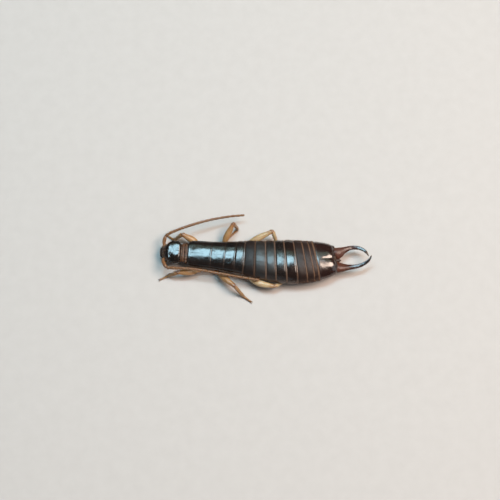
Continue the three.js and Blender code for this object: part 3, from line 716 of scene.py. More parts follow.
PATCH["head"] = (P, normals(P, True), 0.15 + 1.5 * front + 0.8 * side * ease(1.1, 0.9, z0))
# raised rings round the roots of the antennae
for sgn in (1, -1):
    c = place(np.array(-9.58), np.array(sgn * 0.56), np.array(1.16))
    ax = unit(np.array([-0.62, sgn * 0.72, 0.3]))
    a = unit(np.cross(ax, [0, 0, 1.0]))
    b = np.cross(ax, a)
    u = np.linspace(0, 2 * PI, 49)[:-1]
    v = np.linspace(0, 2 * PI, 15)[:-1]
    U, V = np.meshgrid(u, v, indexing="ij")
    R = 0.155 + 0.04 * np.cos(V)
    Q = c + (R * np.cos(U))[..., None] * a + (R * np.sin(U))[..., None] * b + (0.045 * np.sin(V))[..., None] * ax
    nu, nv = U.shape
    i, j = np.meshgrid(np.arange(nu), np.arange(nv), indexing="ij")
    F = np.stack([i * nv + j, i * nv + (j + 1) % nv, ((i + 1) % nu) * nv + (j + 1) % nv, ((i + 1) % nu) * nv + j], -1).reshape(-1, 4)
    s.add(Q, [F], 0, flank=0.7, rim=0.2, rear=0.0)
s.make("head_capsule", [BLACK], ("head",))

# Eyes: low domes in hexagonal facets.
for side_name, sgn in (("right", 1), ("left", -1)):
    s = Shape()
    r = np.linspace(0.02, 1.0, 62)
    u = np.linspace(0, 2 * PI, 181)[:-1]
    R, U = np.meshgrid(r, u, indexing="ij")
    px, pz = R * np.cos(U) * EYE_SIZE[0], R * np.sin(U) * EYE_SIZE[2]
    px, pz = px * (1 - 0.06 * np.sin(U) ** 2), pz * (1 - 0.14 * bell(U, 1.5 * PI, 0.6))
    dome = EYE_SIZE[1] * np.sqrt(np.clip(1 - (R * 0.985) ** 2, 0, 1))
    pitch = 0.026
    qa, qb = px / pitch, (pz / pitch) * 2 / math.sqrt(3)
    best = np.full(px.shape, 9.0)
    for shift in (0.0, 1.0):
        row = 2 * np.round((qb - shift) / 2) + shift
        colu = np.round(qa - 0.5 * (row % 2)) + 0.5 * (row % 2)
        best = np.minimum(best, np.hypot(qa - colu, (qb - row) * math.sqrt(3) / 2))
    facet = -0.0065 * np.clip(best / 0.5, 0, 1.15) ** 2 * ease(1.0, 0.93, R)
    h = dome + facet
    Pn = place(EYE_X + px, sgn * (EYE_OUT + h), EYE_Z + pz)
    back = place(EYE_X + px[::-1] * 0.98, sgn * (EYE_OUT - 0.05 - 0.04 * (1 - R[::-1])), EYE_Z + pz[::-1] * 0.98)
    Q = np.concatenate([Pn, back])
    s.tube(Q, gap=np.concatenate([ease(0.38, 0.56, best), 0 * best]))
    s.make("eye_facets_" + side_name, [EYE], ("eye_" + side_name,))


# ------------------------------------------------------------------ limbs
def rod(points, profile, n=40, sides=28, flatten=1.0, lean=None, caps=0.6, shape_fn=None, mat=0, into=None, up=None, **attr):
    """A limb joint: a smooth midline, a radius table along it, rounded ends. Returns its points and how far along they are."""
    u = np.linspace(0, 1, n)
    c, d, length = spline(points, u)
    r = tab(profile, u)
    rows_c, rows_d, rows_r, rows_u = [], [], [], []
    for a in np.radians([8, 25, 45, 68]):
        rows_c.append(c[0] - d[0] * r[0] * caps * math.cos(a)); rows_d.append(d[0]); rows_r.append(r[0] * math.sin(a)); rows_u.append(0.0)
    for i in range(n):
        rows_c.append(c[i]); rows_d.append(d[i]); rows_r.append(r[i]); rows_u.append(u[i])
    for a in np.radians([68, 45, 25, 8]):
        rows_c.append(c[-1] + d[-1] * r[-1] * caps * math.cos(a)); rows_d.append(d[-1]); rows_r.append(r[-1] * math.sin(a)); rows_u.append(1.0)
    C, Dr, R, U = map(np.array, (rows_c, rows_d, rows_r, rows_u))
    ref = np.array([0, 0, 1.0]) if up is None else np.array(up, float)
    A = unit(np.cross(ref, Dr))
    B = np.cross(Dr, A)
    th = np.linspace(0, 2 * PI, sides + 1)[:-1]
    UU, TH = np.meshgrid(U, th, indexing="ij")
    RR = np.repeat(R[:, None], sides, 1)
    ka = kb = 1.0
    if shape_fn is not None:
        RR = RR * shape_fn(UU, TH)
    P = C[:, None] + (RR * np.cos(TH))[..., None] * A[:, None] * ka + (RR * np.sin(TH) * flatten)[..., None] * B[:, None]
    at = {k: (v(UU, TH) if callable(v) else v) for k, v in attr.items()}
    if into is not None:
        into.tube(P, mat, **at)
    return P, UU, TH, length


def toward(a, b, t):
    a, b = np.array(a, float), np.array(b, float)
    return a + (b - a) * t


for name, (coxa, hip, knee, ankle, claw) in LEGS.items():
    coxa, hip, knee, ankle, claw = (np.array(p, float) for p in (coxa, hip, knee, ankle, claw))
    LEG_MATS = [PALE if name.startswith("hind") else STRAW, SKIN]
    size = {"front": 1.1, "mid": 1.0, "hind": 1.04}[name.split("_")[0]]
    # hip: the cone that carries the leg, then the small ring at its end
    s = Shape()
    root = toward(coxa, hip, -0.12) + [0, 0, 0.12]
    P, U, T, _ = rod([root, toward(coxa, hip, 0.5), toward(coxa, hip, 0.92)], [[0, 0.3], [0.35, 0.29], [0.75, 0.22], [1, 0.18]], 36, 36, 0.82, into=s,
                     joint=lambda u, t: 0.5 * ease(0.75, 1.0, u) + 0.3 * ease(0.3, 0.0, u), seam=lambda u, t: 0.55 * bell(u, 0.93, 0.03) + 0.35 * bell(np.cos(t), 0.0, 0.09) * ease(0.9, 0.7, u))
    PATCH[name + "_coxa"] = (P, normals(P, True), 0.3 + 0 * U)
    P, U, T, _ = rod([toward(coxa, hip, 0.9), toward(hip, knee, 0.03), toward(hip, knee, 0.1)], [[0, 0.15], [0.4, 0.2], [0.8, 0.19], [1, 0.16]], 18, 28, 0.9, into=s,
                     joint=lambda u, t: 0.6 + 0 * u, seam=lambda u, t: 0.5 * ease(0.85, 1.0, u))
    s.make(name + "_hip", LEG_MATS, ("leg_%s_coxa" % name,))
    # thigh
    s = Shape()
    side = np.sign(knee[1] - hip[1])
    mid = toward(hip, knee, 0.5) + np.array([0, side, 0.4]) * BOW.get(name, 0.02) * np.linalg.norm(knee[:2] - hip[:2])
    prof = np.array([[0, 0.15], [0.1, 0.225], [0.3, 0.305], [0.5, 0.31], [0.72, 0.26], [0.88, 0.2], [1, 0.175]])
    prof[:, 1] *= size
    P, U, T, _ = rod([toward(hip, knee, 0.09), mid, toward(hip, knee, 0.97)], prof, 60, 40, 0.86, into=s,
                     shape_fn=lambda u, t: 1 + 0.06 * bell(np.sin(t), 1, 0.35) * np.sin(PI * u) + 0.14 * ease(0.9, 1, u) * np.cos(2 * t) - 0.05 * bell(np.sin(t), -1, 0.2) * ease(0.3, 0.9, u),
                     joint=lambda u, t: 0.85 * ease(0.78, 0.98, u) + 0.45 * ease(0.12, 0.0, u), seam=lambda u, t: 0.7 * ease(0.975, 1.0, u) + 0.12 * bell(np.sin(t), -1, 0.3) * ease(0.4, 0.9, u))
    PATCH[name + "_thigh"] = (P, normals(P, True), 0.35 + 0.4 * ease(0.5, 1, U))
    s.make(name + "_thigh", LEG_MATS, ("leg_%s_femur" % name,))
    # shin, with the skin of the knee and two small spines at its end
    s = Shape()
    prof = np.array([[0, 0.12], [0.05, 0.165], [0.14, 0.175], [0.35, 0.16], [0.7, 0.14], [0.93, 0.15], [1, 0.12]])
    prof[:, 1] *= size
    a0, a1 = toward(knee, ankle, 0.03), toward(knee, ankle, 0.97)
    P, U, T, _ = rod([a0, toward(knee, ankle, 0.5) + np.array([0, side * 0.03, 0.02]), a1], prof, 54, 30, 0.92, into=s,
                     shape_fn=lambda u, t: 1 + 0.05 * np.cos(4 * t) * ease(0, 0.3, u),
                     joint=lambda u, t: 0.8 * ease(0.16, 0.0, u) + 0.55 * ease(0.86, 1.0, u), seam=lambda u, t: 0.7 * ease(0.03, 0.0, u) + 0.4 * ease(0.97, 1, u))
    PATCH[name + "_shin"] = (P, normals(P, True), 0.6 + 0.9 * U)
    bent = unit(unit(knee - hip) - unit(ankle - knee))  # away from the inside of the bend
    rod([toward(hip, knee, 0.955), knee + bent * 0.02, toward(knee, ankle, 0.08)], [[0, 0.13], [0.5, 0.125], [1, 0.12]], 24, 26, 0.9, into=s,
        shape_fn=lambda u, t: 1 - 0.07 * bell((u * 5) % 1, 0.5, 0.22) - 0.1 * bell(np.abs(np.cos(t)), 0, 0.3) * bell(u, 0.5, 0.3), joint=1.0, seam=lambda u, t: 0.25 + 0.45 * bell((u * 5) % 1, 0.5, 0.25))
    down = unit(ankle - knee)
    for sg in (-1, 1):
        across = unit(np.cross(down, [0, 0, 1.0])) * sg
        rod([a1 - down * 0.05 + across * 0.09, a1 + down * 0.06 + across * 0.12, a1 + down * 0.15 + across * 0.12], [[0, 0.024], [0.5, 0.018], [1, 0.004]], 10, 10, 1.0, into=s, joint=0.9, seam=0.2)
    s.make(name + "_shin", LEG_MATS, ("leg_%s_tibia" % name,))
    # foot: three joints and two claws
    s = Shape()
    line, tang, length = spline([ankle, toward(ankle, claw, 0.45) - [0, 0, 0.035], claw], 101)
    cuts = [(0.03, 0.44, 0.115, 0.1), (0.455, 0.6, 0.09, 0.1), (0.615, 0.97, 0.075, 0.088)]
    for i, (u0, u1, r0, r1) in enumerate(cuts):
        pts = line[[int(u0 * 100), int((u0 + u1) * 50), int(u1 * 100)]]
        tip = r1 * (1.15 if i == 1 else 1.0)
        P, U, T, _ = rod(pts, [[0, r0 * 0.75], [0.15, r0], [0.6, (r0 + r1) / 2 * 0.92], [0.9, tip], [1, tip * 0.8]], 26, 22, 0.92, into=s,
                         joint=lambda u, t: 0.35 + 0.4 * ease(0.8, 1, u), seam=lambda u, t: 0.5 * ease(0.95, 1, u))
        PATCH["%s_foot_%d" % (name, i)] = (P, normals(P, True), 1.2 + 2.2 * ease(0.1, -0.8, np.sin(T)))
    e, d = line[98], unit(line[100] - line[90])
    across = unit(np.cross([0, 0, 1.0], d))
    for sg in (-1, 1):
        rod([e + across * 0.025 * sg + [0, 0, 0.01], e + d * 0.09 + across * 0.065 * sg + [0, 0, 0.035], e + d * 0.17 + across * 0.09 * sg + [0, 0, 0.0], e + d * 0.2 + across * 0.092 * sg - [0, 0, 0.055]],
            [[0, 0.034], [0.4, 0.026], [0.8, 0.014], [1, 0.003]], 20, 14, 1.2, into=s, joint=0.9, seam=lambda u, t: 0.3 + 0.7 * u)
    s.make(name + "_foot", LEG_MATS, ("leg_%s_tarsus" % name,))

# ------------------------------------------------------------------ antennae
for side_name, (scape, whip) in ANTENNAE.items():
    s = Shape()
    P, U, T, _ = rod(scape, [[0, 0.1], [0.12, 0.125], [0.5, 0.165], [0.85, 0.165], [1, 0.12]], 44, 30, 0.95, into=s,
                     joint=lambda u, t: 0.5 * ease(0.9, 1, u) + 0.4 * ease(0.1, 0, u), seam=lambda u, t: 0.8 * ease(0.96, 1, u) + 0.7 * ease(0.05, 0.0, u))
    PATCH["scape_" + side_name] = (P, normals(P, True), 0.5 + 0 * U)
    s.make("antenna_base_" + side_name, [FEELER, SKIN], ("antenna_%s_scape" % side_name,))
    s = Shape()
    start = [toward(scape[-1], whip[0], 0.55).tolist()]
    line, tang, length = spline(start + whip[1:] if side_name else whip, 2001)
    # ring lengths: a short pedicel and third ring, then longer and longer
    rel = np.array([0.62, 1.0, 0.66, 0.6, 0.62, 0.68, 0.75, 0.82, 0.9, 0.96, 1.02, 1.06, 1.1, 1.12, 1.14, 1.14, 1.12, 1.1, 1.05])
    cut = np.concatenate([[0], np.cumsum(rel)]) / rel.sum()
    rows_u, rows_f, rows_j, rows_s = [], [], [], []
    for i in range(len(rel)):
        w = cut[i + 1] - cut[i]
        last = i == len(rel) - 1
        for f, k, j, m in [(0.0, 0.6, 0.3, 0.9), (0.035, 0.72, 0.8, 0.5), (0.09, 0.86, 0.7, 0.0), (0.22, 0.93, 0.25, 0), (0.45, 0.98, 0.0, 0), (0.7, 1.03, 0.0, 0), (0.86, 1.03, 0.15, 0), (0.94, 0.97, 0.6, 0.1), (0.98, 0.82, 0.9, 0.3)][: 5 if last else 9]:
            rows_u.append(cut[i] + f * w); rows_f.append(k); rows_j.append(j); rows_s.append(m)
    rows_u += [0.975, 0.982, 0.988, 0.993, 0.9965, 0.999, 1.0]; rows_f += [1.0, 0.95, 0.85, 0.7, 0.5, 0.27, 0.06]; rows_j += [0.3] * 7; rows_s += [0.05] * 7
    U = np.array(rows_u)
    C, Dr, _ = spline(start + whip[1:], U)
    r = (0.135 - 0.035 * U) * np.array(rows_f) * (1 + 0.12 * ease(0.05, 0.0, U))
    A = unit(np.cross([0, 0, 1.0], Dr)); B = np.cross(Dr, A)
    th = np.linspace(0, 2 * PI, 25)[:-1]
    P = C[:, None] + (r[:, None] * np.cos(th))[..., None] * A[:, None] + (r[:, None] * np.sin(th))[..., None] * B[:, None]
    s.tube(P, joint=np.array(rows_j) * 0.8, seam=np.array(rows_s))
    PATCH["whip_" + side_name] = (P, normals(P, True), np.repeat((np.array(rows_f) > 0.84).astype(float)[:, None], 24, 1))
    s.make("antenna_whip_" + side_name, [FEELER], ("antenna_%s_flagellum" % side_name,))

# ------------------------------------------------------------------ mouth
mid = float(tab(AXIS, -9.8))
s = Shape()  # upper lip: a rounded, notched plate at the front of the brow, a little browner at its base
a = np.linspace(-1, 1, 60)
b = np.linspace(0, 1, 44)
B, A = np.meshgrid(b, a, indexing="ij")
half = 0.4 * (1 - 0.5 * B**2.6) * np.sqrt(np.clip(1 - (0.93 * ease(0.72, 1.0, B)) ** 2, 0, 1)) + 0.02
x = -9.735 - 0.29 * B + 0.02 * bell(A, 0, 0.14) * ease(0.8, 1, B)
z = 1.27 - 0.05 * A**2 - 0.12 * B**1.5 - 0.02 * bell(B, 0.12, 0.05) + 0.012 * np.sin(PI * B) * (1 - A**2)
P = place(x, A * half, z)
s.shell(P, 0.07, 0, rim=0 * A, flank=0.6 + 0.3 * ease(0.25, 0.0, B), rear=0 * A)
PATCH["lip"] = (P, normals(P), 0.2 + 2.5 * ease(0.6, 1.0, B))
s.make("upper_lip", [MOUTH], ("labrum",))
for side_name, sgn in (("right", 1), ("left", -1)):
    s = Shape()
    y = mid
    # a broad base, a flat blade that narrows inward, and two dark teeth at its tip
    rod([[-9.58, y + sgn * 0.42, 0.87], [-9.72, y + sgn * 0.41, 0.86], [-9.86, y + sgn * 0.34, 0.855], [-9.96, y + sgn * 0.2, 0.85], [-10.01, y + sgn * 0.05, 0.85 + 0.03 * sgn]],
        [[0, 0.13], [0.25, 0.145], [0.5, 0.13], [0.75, 0.085], [0.92, 0.04], [1, 0.012]], 60, 40, 0.72, into=s,
        shape_fn=lambda u, t: 1 + 0.22 * bell(np.cos(t) * sgn, -1, 0.5) * bell(u, 0.42, 0.25) - 0.12 * bell(np.abs(np.sin(t)), 0.8, 0.2) * ease(0.2, 0.5, u) + 0.05 * bell(np.sin(t), 1, 0.15) * ease(0.1, 0.4, u),
        rim=lambda u, t: ease(0.5, 0.82, u), flank=lambda u, t: 0.75 * ease(0.75, 0.3, u), rear=0.0)
    for tx, ty, reach, r0, high in [(-9.945, 0.13, 0.15, 0.045, 0.0), (-9.87, 0.15, 0.12, 0.05, -0.015), (-9.78, 0.2, 0.09, 0.06, -0.02)]:
        rod([[tx + 0.05, y + sgn * (ty + 0.08), 0.86 + high], [tx + 0.01, y + sgn * (ty + 0.02), 0.855 + high], [tx - 0.02, y + sgn * (ty + 0.06 - reach), 0.85 + high]], [[0, r0], [0.5, r0 * 0.72], [0.85, r0 * 0.28], [1, 0.004]], 16, 16, 0.8, into=s, rim=0.95, flank=0.1, rear=0.0)
    s.make("jaw_" + side_name, [MOUTH], ("mandible_" + side_name,))
    s = Shape()
    pts = [[-9.22, y + sgn * 0.5, 0.72], [-9.34, y + sgn * 0.68, 0.62], [-9.52, y + sgn * 0.82, 0.52], [-9.74, y + sgn * 0.82, 0.42], [-9.9, y + sgn * 0.64, 0.36], [-9.98, y + sgn * 0.46, 0.34]]
    line, tang, length = spline(pts, 101)
    for i, (u0, u1, r0, r1) in enumerate([(0.0, 0.1, 0.07, 0.08), (0.115, 0.23, 0.07, 0.085), (0.245, 0.5, 0.055, 0.08), (0.515, 0.74, 0.055, 0.078), (0.755, 1.0, 0.052, 0.035)]):
        q = line[[int(u0 * 100), int((u0 + u1) * 50), int(u1 * 100)]]
        P, U, T, _ = rod(q, [[0, r0 * 0.8], [0.2, r0], [0.85, r1], [1, r1 * 0.8]], 20, 20, 1.0, into=s, joint=lambda u, t: 0.2 + 0.5 * ease(0.85, 1, u), seam=lambda u, t: 0.5 * ease(0.93, 1, u))
        PATCH["palp_%s_%d" % (side_name, i)] = (P, normals(P, True), 1.0 + 0 * U)
    # the inner and outer lobe of the same mouthpart, under the jaw
    for inner, (lx, ly) in enumerate([(-9.82, 0.3), (-9.86, 0.16)]):
        rod([[-9.3, y + sgn * 0.44, 0.74], [-9.6, y + sgn * (ly + 0.14), 0.76], [lx, y + sgn * ly, 0.77], [lx - 0.08, y + sgn * (ly - 0.08), 0.77]], [[0, 0.08], [0.5, 0.075], [0.85, 0.045], [1, 0.015]], 26, 18, 0.7, into=s, joint=lambda u, t: 0.4 + 0.5 * u, seam=lambda u, t: 0.8 * ease(0.75, 1, u))
    s.make("palps_" + side_name, [STRAW], ("palp_" + side_name,))
s = Shape()  # lower lip: a shield-shaped plate, a square one before it, two lobes and two short palps
for x0, x1, h0, h1, zb in [(-8.62, -9.32, 0.34, 0.4, 0.6), (-9.3, -9.62, 0.38, 0.34, 0.6)]:
    u = np.linspace(0, 1, 40)
    th = np.linspace(0, 2 * PI, 49)[:-1]
    U, TH = np.meshgrid(u, th, indexing="ij")
    h = (h0 + (h1 - h0) * U) * np.sqrt(np.clip(1 - np.abs(2 * U - 1) ** 8, 0.0, 1)) + 0.01
    tall = 0.09 * np.sqrt(np.clip(1 - np.abs(2 * U - 1) ** 6, 0.0, 1)) + 0.004
    cy, sz = outline(TH, 2.6, 2.6)
    P = place(x0 + (x1 - x0) * U, h * cy, zb + tall * sz)
    s.tube(P, flank=0.6, rim=0.0, rear=0.0)
for sgn in (-1, 1):
    rod([[-9.56, mid + sgn * 0.16, 0.6], [-9.78, mid + sgn * 0.17, 0.6], [-9.94, mid + sgn * 0.12, 0.6]], [[0, 0.12], [0.6, 0.11], [1, 0.05]], 22, 20, 0.6, into=s, flank=0.9, rim=0.0, rear=0.0)
    line, tang, length = spline([[-9.5, mid + sgn * 0.36, 0.56], [-9.66, mid + sgn * 0.46, 0.5], [-9.82, mid + sgn * 0.42, 0.44], [-9.94, mid + sgn * 0.32, 0.42]], 101)
    for u0, u1, r0, r1 in [(0.0, 0.28, 0.05, 0.055), (0.3, 0.62, 0.045, 0.055), (0.64, 1.0, 0.045, 0.03)]:
        rod(line[[int(u0 * 100), int((u0 + u1) * 50), int(u1 * 100)]], [[0, r0 * 0.8], [0.3, r0], [0.85, r1], [1, r1 * 0.75]], 16, 16, 1.0, into=s, flank=1.0, rim=0.0, rear=0.0)
s.make("lower_lip", [MOUTH], ("labium",))

# ------------------------------------------------------------------ tail
s = Shape()
u = np.linspace(0.03, 1, 34)
th = np.linspace(0, 2 * PI, 49)[:-1]
U, TH = np.meshgrid(u, th, indexing="ij")
cy, sz = outline(TH, 2.6, 2.6)
w = np.sqrt(np.clip(1 - (0.97 * ease(0.55, 1.0, U)) ** 2, 0, 1))
c = np.array([6.56, -0.27, 1.12])
P = np.stack([c[0] + 0.56 * U, c[1] + (0.2 - 0.05 * U) * cy * w, c[2] - 0.02 * U + (0.17 - 0.05 * U) * sz * w], -1)
P = P + normals(P, True) * (0.006 * wobble(P, 0.12, 3))[..., None]
s.tube(P, flank=0.4, rear=1.0, rim=0.15 * ease(0.8, 1, U))
s.make("tail_plate", [DUSTY], ("pygidium",))
for side_name, (line, radius) in FORCEPS.items():
    s = Shape()
    sgn = 1 if side_name == "right" else -1
    n = 240
    u = np.linspace(0, 1, n)
    C, Dr, length = spline(line, u)
    cum = np.concatenate([[0], np.cumsum(np.linalg.norm(np.diff(np.array(line), axis=0), axis=1))])
    r = tab(np.stack([cum / cum[-1], radius], 1), u)
    A = unit(np.cross([0, 0, 1.0], Dr)); B = np.cross(Dr, A)  # A points to the animal's right
    th = np.linspace(0, 2 * PI, 73)[:-1]
    U, TH = np.meshgrid(u, th, indexing="ij")
    inner = PI if sgn > 0 else 0.0
    off = np.angle(np.exp(1j * (TH - inner)))
    base = ease(0.62, 0.15, U)
    R = r[:, None] * (1 + 0.16 * base * bell(off, 0, 0.5) + 0.08 * base * bell(np.abs(off), 2.2, 0.6) - 0.05 * base * bell(off, 0.9, 0.4))
    teeth = 0.022 * np.clip(np.sin(U * length * 2 * PI / 0.13), 0, 1) ** 0.7 * bell(off + 0.1, 0, 0.2) * ease(0.02, 0.1, U) * ease(0.55, 0.36, U)
    R = R + teeth + 0.012 * bell(off - 0.9 * sgn, 0, 0.12) * base
    tall = 0.86 - 0.16 * base + 0.26 * ease(0.6, 0.95, U)
    e = 2 + 0.8 * ease(0.2, 0.5, U) + 2.2 * ease(0.34, 0.5, U) * (np.sin(TH) > 0)  # a flattened upper face
    R = R / (np.abs(np.cos(TH)) ** e + np.abs(np.sin(TH)) ** e) ** (1 / e) * 0.97
    end = ease(1.0, 0.985, U) * 0.8 + 0.2
    P = C[:, None] + (R * end * np.cos(TH))[..., None] * A[:, None] + (R * end * np.sin(TH) * tall)[..., None] * B[:, None]
    P = P + normals(P, True) * ((0.0011 + 0.0024 * base) * wobble(P, 0.3, 9 + sgn))[..., None]
    s.tube(P, rear=ease(0.32, 0.1, U), dull=1.9 * ease(0.45, 0.2, U), flank=0.6 * ease(0.5, 0.2, U), rim=0.85 * ease(0.42, 0.75, U) + 0.1 * ease(0.1, 0.4, U))
    PATCH["forceps_" + side_name] = (P, normals(P, True), 0.3 + ease(0.5, 0.1, U))
    s.make("forceps_arm_" + side_name, [PINCER], ("forceps_" + side_name,))


# ------------------------------------------------------------------ hairs
def scatter(names, count, rng):
    """Random places on named surfaces: roots, normals, the way along the surface, and where that is on an unwrap of it."""
    cells = []
    for k, n in enumerate(names):
        P, N, w = PATCH[n]
        e1 = np.linalg.norm(np.diff(P, axis=0), axis=-1)[:, :-1]
        e2 = np.linalg.norm(np.diff(P, axis=1), axis=-1)[:-1]
        cells.append((e1 * e2 * np.broadcast_to(w, P.shape[:2])[:-1, :-1]).reshape(-1))
    total = np.concatenate(cells)
    pick = rng.choice(len(total), count, p=total / total.sum())
    ends = np.cumsum([len(c) for c in cells])
    which = np.searchsorted(ends, pick, side="right")
    side = math.ceil(math.sqrt(len(names)))
    roots, nor, along, uv = np.zeros((count, 3)), np.zeros((count, 3)), np.zeros((count, 3)), np.zeros((count, 2))
    for k, n in enumerate(names):
        m = which == k
        if not m.any():
            continue
        P, N, w = PATCH[n]
        q = pick[m] - (ends[k - 1] if k else 0)
        i, j = q // (P.shape[1] - 1), q % (P.shape[1] - 1)
        a, b = rng.random(m.sum())[:, None], rng.random(m.sum())[:, None]
        f = lambda G: (G[i, j] * (1 - a) + G[i + 1, j] * a) * (1 - b) + (G[i, j + 1] * (1 - a) + G[i + 1, j + 1] * a) * b
        roots[m], nor[m], along[m] = f(P), unit(f(N)), unit(P[i + 1, j] - P[i, j])
        uv[m, 0] = (k % side + 0.04 + 0.92 * (j + b[:, 0]) / (P.shape[1] - 1)) / side
        uv[m, 1] = (k // side + 0.04 + 0.92 * (i + a[:, 0]) / (P.shape[0] - 1)) / side
    return roots, nor, along, uv


def hairs(name, names, count, length, width, lift, mat, seed, flip=None):
    """Fine bristles as closed, bent, three-sided cones."""
    rng = np.random.default_rng(seed)
    roots, nor, along, uv = scatter(names, count, rng)
    side = unit(np.cross(nor, along))
    L = rng.uniform(*length, count)[:, None]
    R = rng.uniform(*width, count)[:, None]
    up = rng.uniform(*lift, count)[:, None]
    head = unit(along * (1 - up) + nor * up + side * rng.normal(0, 0.16, count)[:, None])
    bend = unit(along - 0.2 * nor) * rng.uniform(0.15, 0.5, count)[:, None]
    steps = np.array([0.0, 0.4, 0.75])
    thick = np.array([1.0, 0.8, 0.45])
    base = roots - nor * R * 0.6
    V = np.zeros((count, 10, 3)); al = np.zeros((count, 10)); W = np.zeros((count, 10, 2))
    a1 = unit(np.cross(head, nor + 0.3 * along)); a2 = np.cross(head, a1)
    for i, (st, tk) in enumerate(zip(steps, thick)):
        c = base + head * L * st + bend * L * st**2
        for j in range(3):
            q = 2 * PI * j / 3
            V[:, i * 3 + j] = c + (a1 * math.cos(q) + a2 * math.sin(q)) * R * tk
            W[:, i * 3 + j] = uv + 0.0015 * np.array([math.cos(q), math.sin(q)]) * (1 - 0.3 * i)
            al[:, i * 3 + j] = st
    V[:, 9] = base + head * L + bend * L
    W[:, 9] = uv
    al[:, 9] = 1.0
    keep = (V[:, :, 2].min(1) > 0.004) & (V[:, :, 2].max(1) < 2.215)  # none through the floor or high over the back
    V, al, W, count = V[keep], al[keep], W[keep], int(keep.sum())
    o = (np.arange(count) * 10)[:, None, None]
    q4 = np.array([[i * 3 + j, i * 3 + (j + 1) % 3, (i + 1) * 3 + (j + 1) % 3, (i + 1) * 3 + j] for i in range(2) for j in range(3)])
    q3 = np.array([[6, 7, 9], [7, 8, 9], [8, 6, 9], [2, 1, 0]])
    s = Shape()
    s.add(V.reshape(-1, 3), [(o + q4).reshape(-1, 4), (o + q3).reshape(-1, 3)], 0, True, along=al.reshape(-1))
    return s.make(name, [mat], (), W.reshape(-1, 2))


FULL = 1.0
terg = ["tergite_%d" % k for k in range(1, 11)]
ster = ["sternite_%d" % k for k in range(1, 11)]
legs = list(LEGS)
hairs("hairs_flanks", terg, int(2600 * FULL), (0.07, 0.2), (0.003, 0.0055), (0.25, 0.6), BROWN, 1)
hairs("hairs_belly", ster, int(1500 * FULL), (0.08, 0.2), (0.003, 0.005), (0.25, 0.55), GOLD, 2)
hairs("hairs_thorax", [n + k for n in ("prothorax", "mesothorax", "metathorax") for k in ("_back", "_breast")], int(900 * FULL), (0.06, 0.16), (0.003, 0.005), (0.3, 0.7), BROWN, 3)
hairs("hairs_thighs", [n + "_thigh" for n in legs] + [n + "_coxa" for n in legs], int(2600 * FULL), (0.05, 0.11), (0.0025, 0.004), (0.2, 0.45), GOLD, 4)
hairs("hairs_shins", [n + "_shin" for n in legs], int(3000 * FULL), (0.07, 0.15), (0.003, 0.0045), (0.3, 0.55), GOLD, 5)
hairs("hairs_feet", ["%s_foot_%d" % (n, i) for n in legs for i in range(3)], int(3600 * FULL), (0.04, 0.09), (0.0025, 0.004), (0.35, 0.6), GOLD, 6)
hairs("hairs_antennae", ["whip_left", "whip_right", "scape_left", "scape_right"], int(5200 * FULL), (0.04, 0.085), (0.002, 0.0035), (0.3, 0.6), GOLD, 7)
hairs("hairs_face", ["head", "lip"] + ["palp_%s_%d" % (a, i) for a in ("left", "right") for i in range(5)], int(1300 * FULL), (0.04, 0.12), (0.0025, 0.004), (0.35, 0.7), GOLD, 8)
hairs("hairs_forceps", ["forceps_left", "forceps_right"], int(900 * FULL), (0.04, 0.11), (0.0025, 0.004), (0.3, 0.6), GOLD, 9)

# ------------------------------------------------------------------ floor, light, camera
me = bpy.data.meshes.new("floor")
me.from_pydata([(-0.6, -0.6, 0), (0.6, -0.6, 0), (0.6, 0.6, 0), (-0.6, 0.6, 0)], [], [(0, 1, 2, 3)])
floor = bpy.data.objects.new("floor", me)
bpy.context.scene.collection.objects.link(floor)
m, nt, sh = nodes_of("floor_pale")
k = Kit(nt)
k.put(sh.inputs["Base Color"], k.mix(k.span(k.noise(900, 4, 0.5), 0.3, 0.7, 0.0, 1.0), (0.49, 0.468, 0.455), (0.51, 0.488, 0.475)))
sh.inputs["Roughness"].default_value = 0.7
me.materials.append(m)

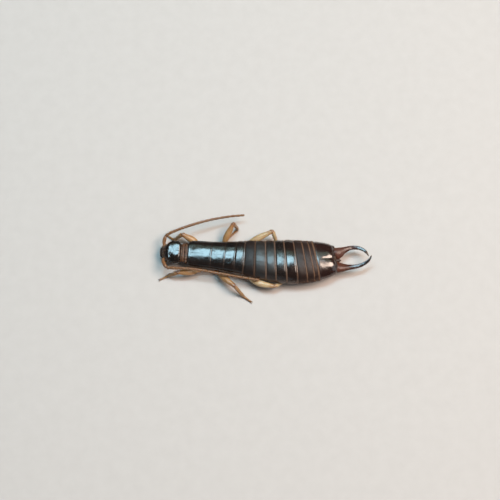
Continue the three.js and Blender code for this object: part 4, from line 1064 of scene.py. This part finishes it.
world = bpy.data.worlds.new("studio")
world.use_nodes = True
world.node_tree.nodes["Background"].inputs[0].default_value = (0.8, 0.8, 0.8, 1)
world.node_tree.nodes["Background"].inputs[1].default_value = 0.1
bpy.context.scene.world = world
bpy.context.scene.view_settings.view_transform = "Standard"


def softbox(name, toward_light, distance, size, power, colour):
    d = Vector(toward_light).normalized()
    data = bpy.data.lights.new(name, "AREA")
    data.shape = "ELLIPSE"
    data.size, data.size_y = size
    data.energy = power
    data.color = colour
    o = bpy.data.objects.new(name, data)
    o.location = d * distance
    o.rotation_mode = "QUATERNION"
    o.rotation_quaternion = d.to_track_quat("Z", "Y")
    bpy.context.scene.collection.objects.link(o)
    return o


def over(deg, front=0.0):
    """A direction tilted from overhead toward the animal's right, and toward its head."""
    return (-math.tan(math.radians(front)), math.tan(math.radians(deg)), 1.0)


softbox("key", over(17.5, 5), 0.25, (0.15, 0.064), 0.41, (0.54, 0.85, 1.0))
softbox("sky", over(31), 0.4, (0.5, 0.12), 0.12, (0.72, 1.0, 0.78))
softbox("left", (-0.35, -0.9, 0.3), 0.5, (0.6, 0.36), 0.17, (0.9, 0.95, 1.0))
softbox("rear", (0.5, 0.1, 0.85), 0.35, (0.2, 0.19), 1.42, (1.0, 0.79, 0.66))
softbox("far", (0.9, -0.15, 0.42), 0.4, (0.3, 0.35), 0.25, (0.88, 0.95, 1.0))

cam = bpy.data.objects.new("camera", bpy.data.cameras.new("camera"))
bpy.context.scene.collection.objects.link(cam)
bpy.context.scene.camera = cam
PX = 10.525  # image pixels for one millimetre at the aim point
TILT = math.radians(75)
cam.data.sensor_width = 36
cam.data.lens = 18 / (250 / PX / 100)
cam.data.clip_start, cam.data.clip_end = 0.005, 5
aim = (np.array([(250 - 265.7) / PX, (258 - 250) / PX / math.sin(TILT), 1.0]) - CENTRE) * MM
back = Vector((0, -math.cos(TILT), math.sin(TILT)))
cam.rotation_mode = "QUATERNION"
cam.location = Vector(aim) + back * 0.1
cam.rotation_quaternion = back.to_track_quat("Z", "Y")
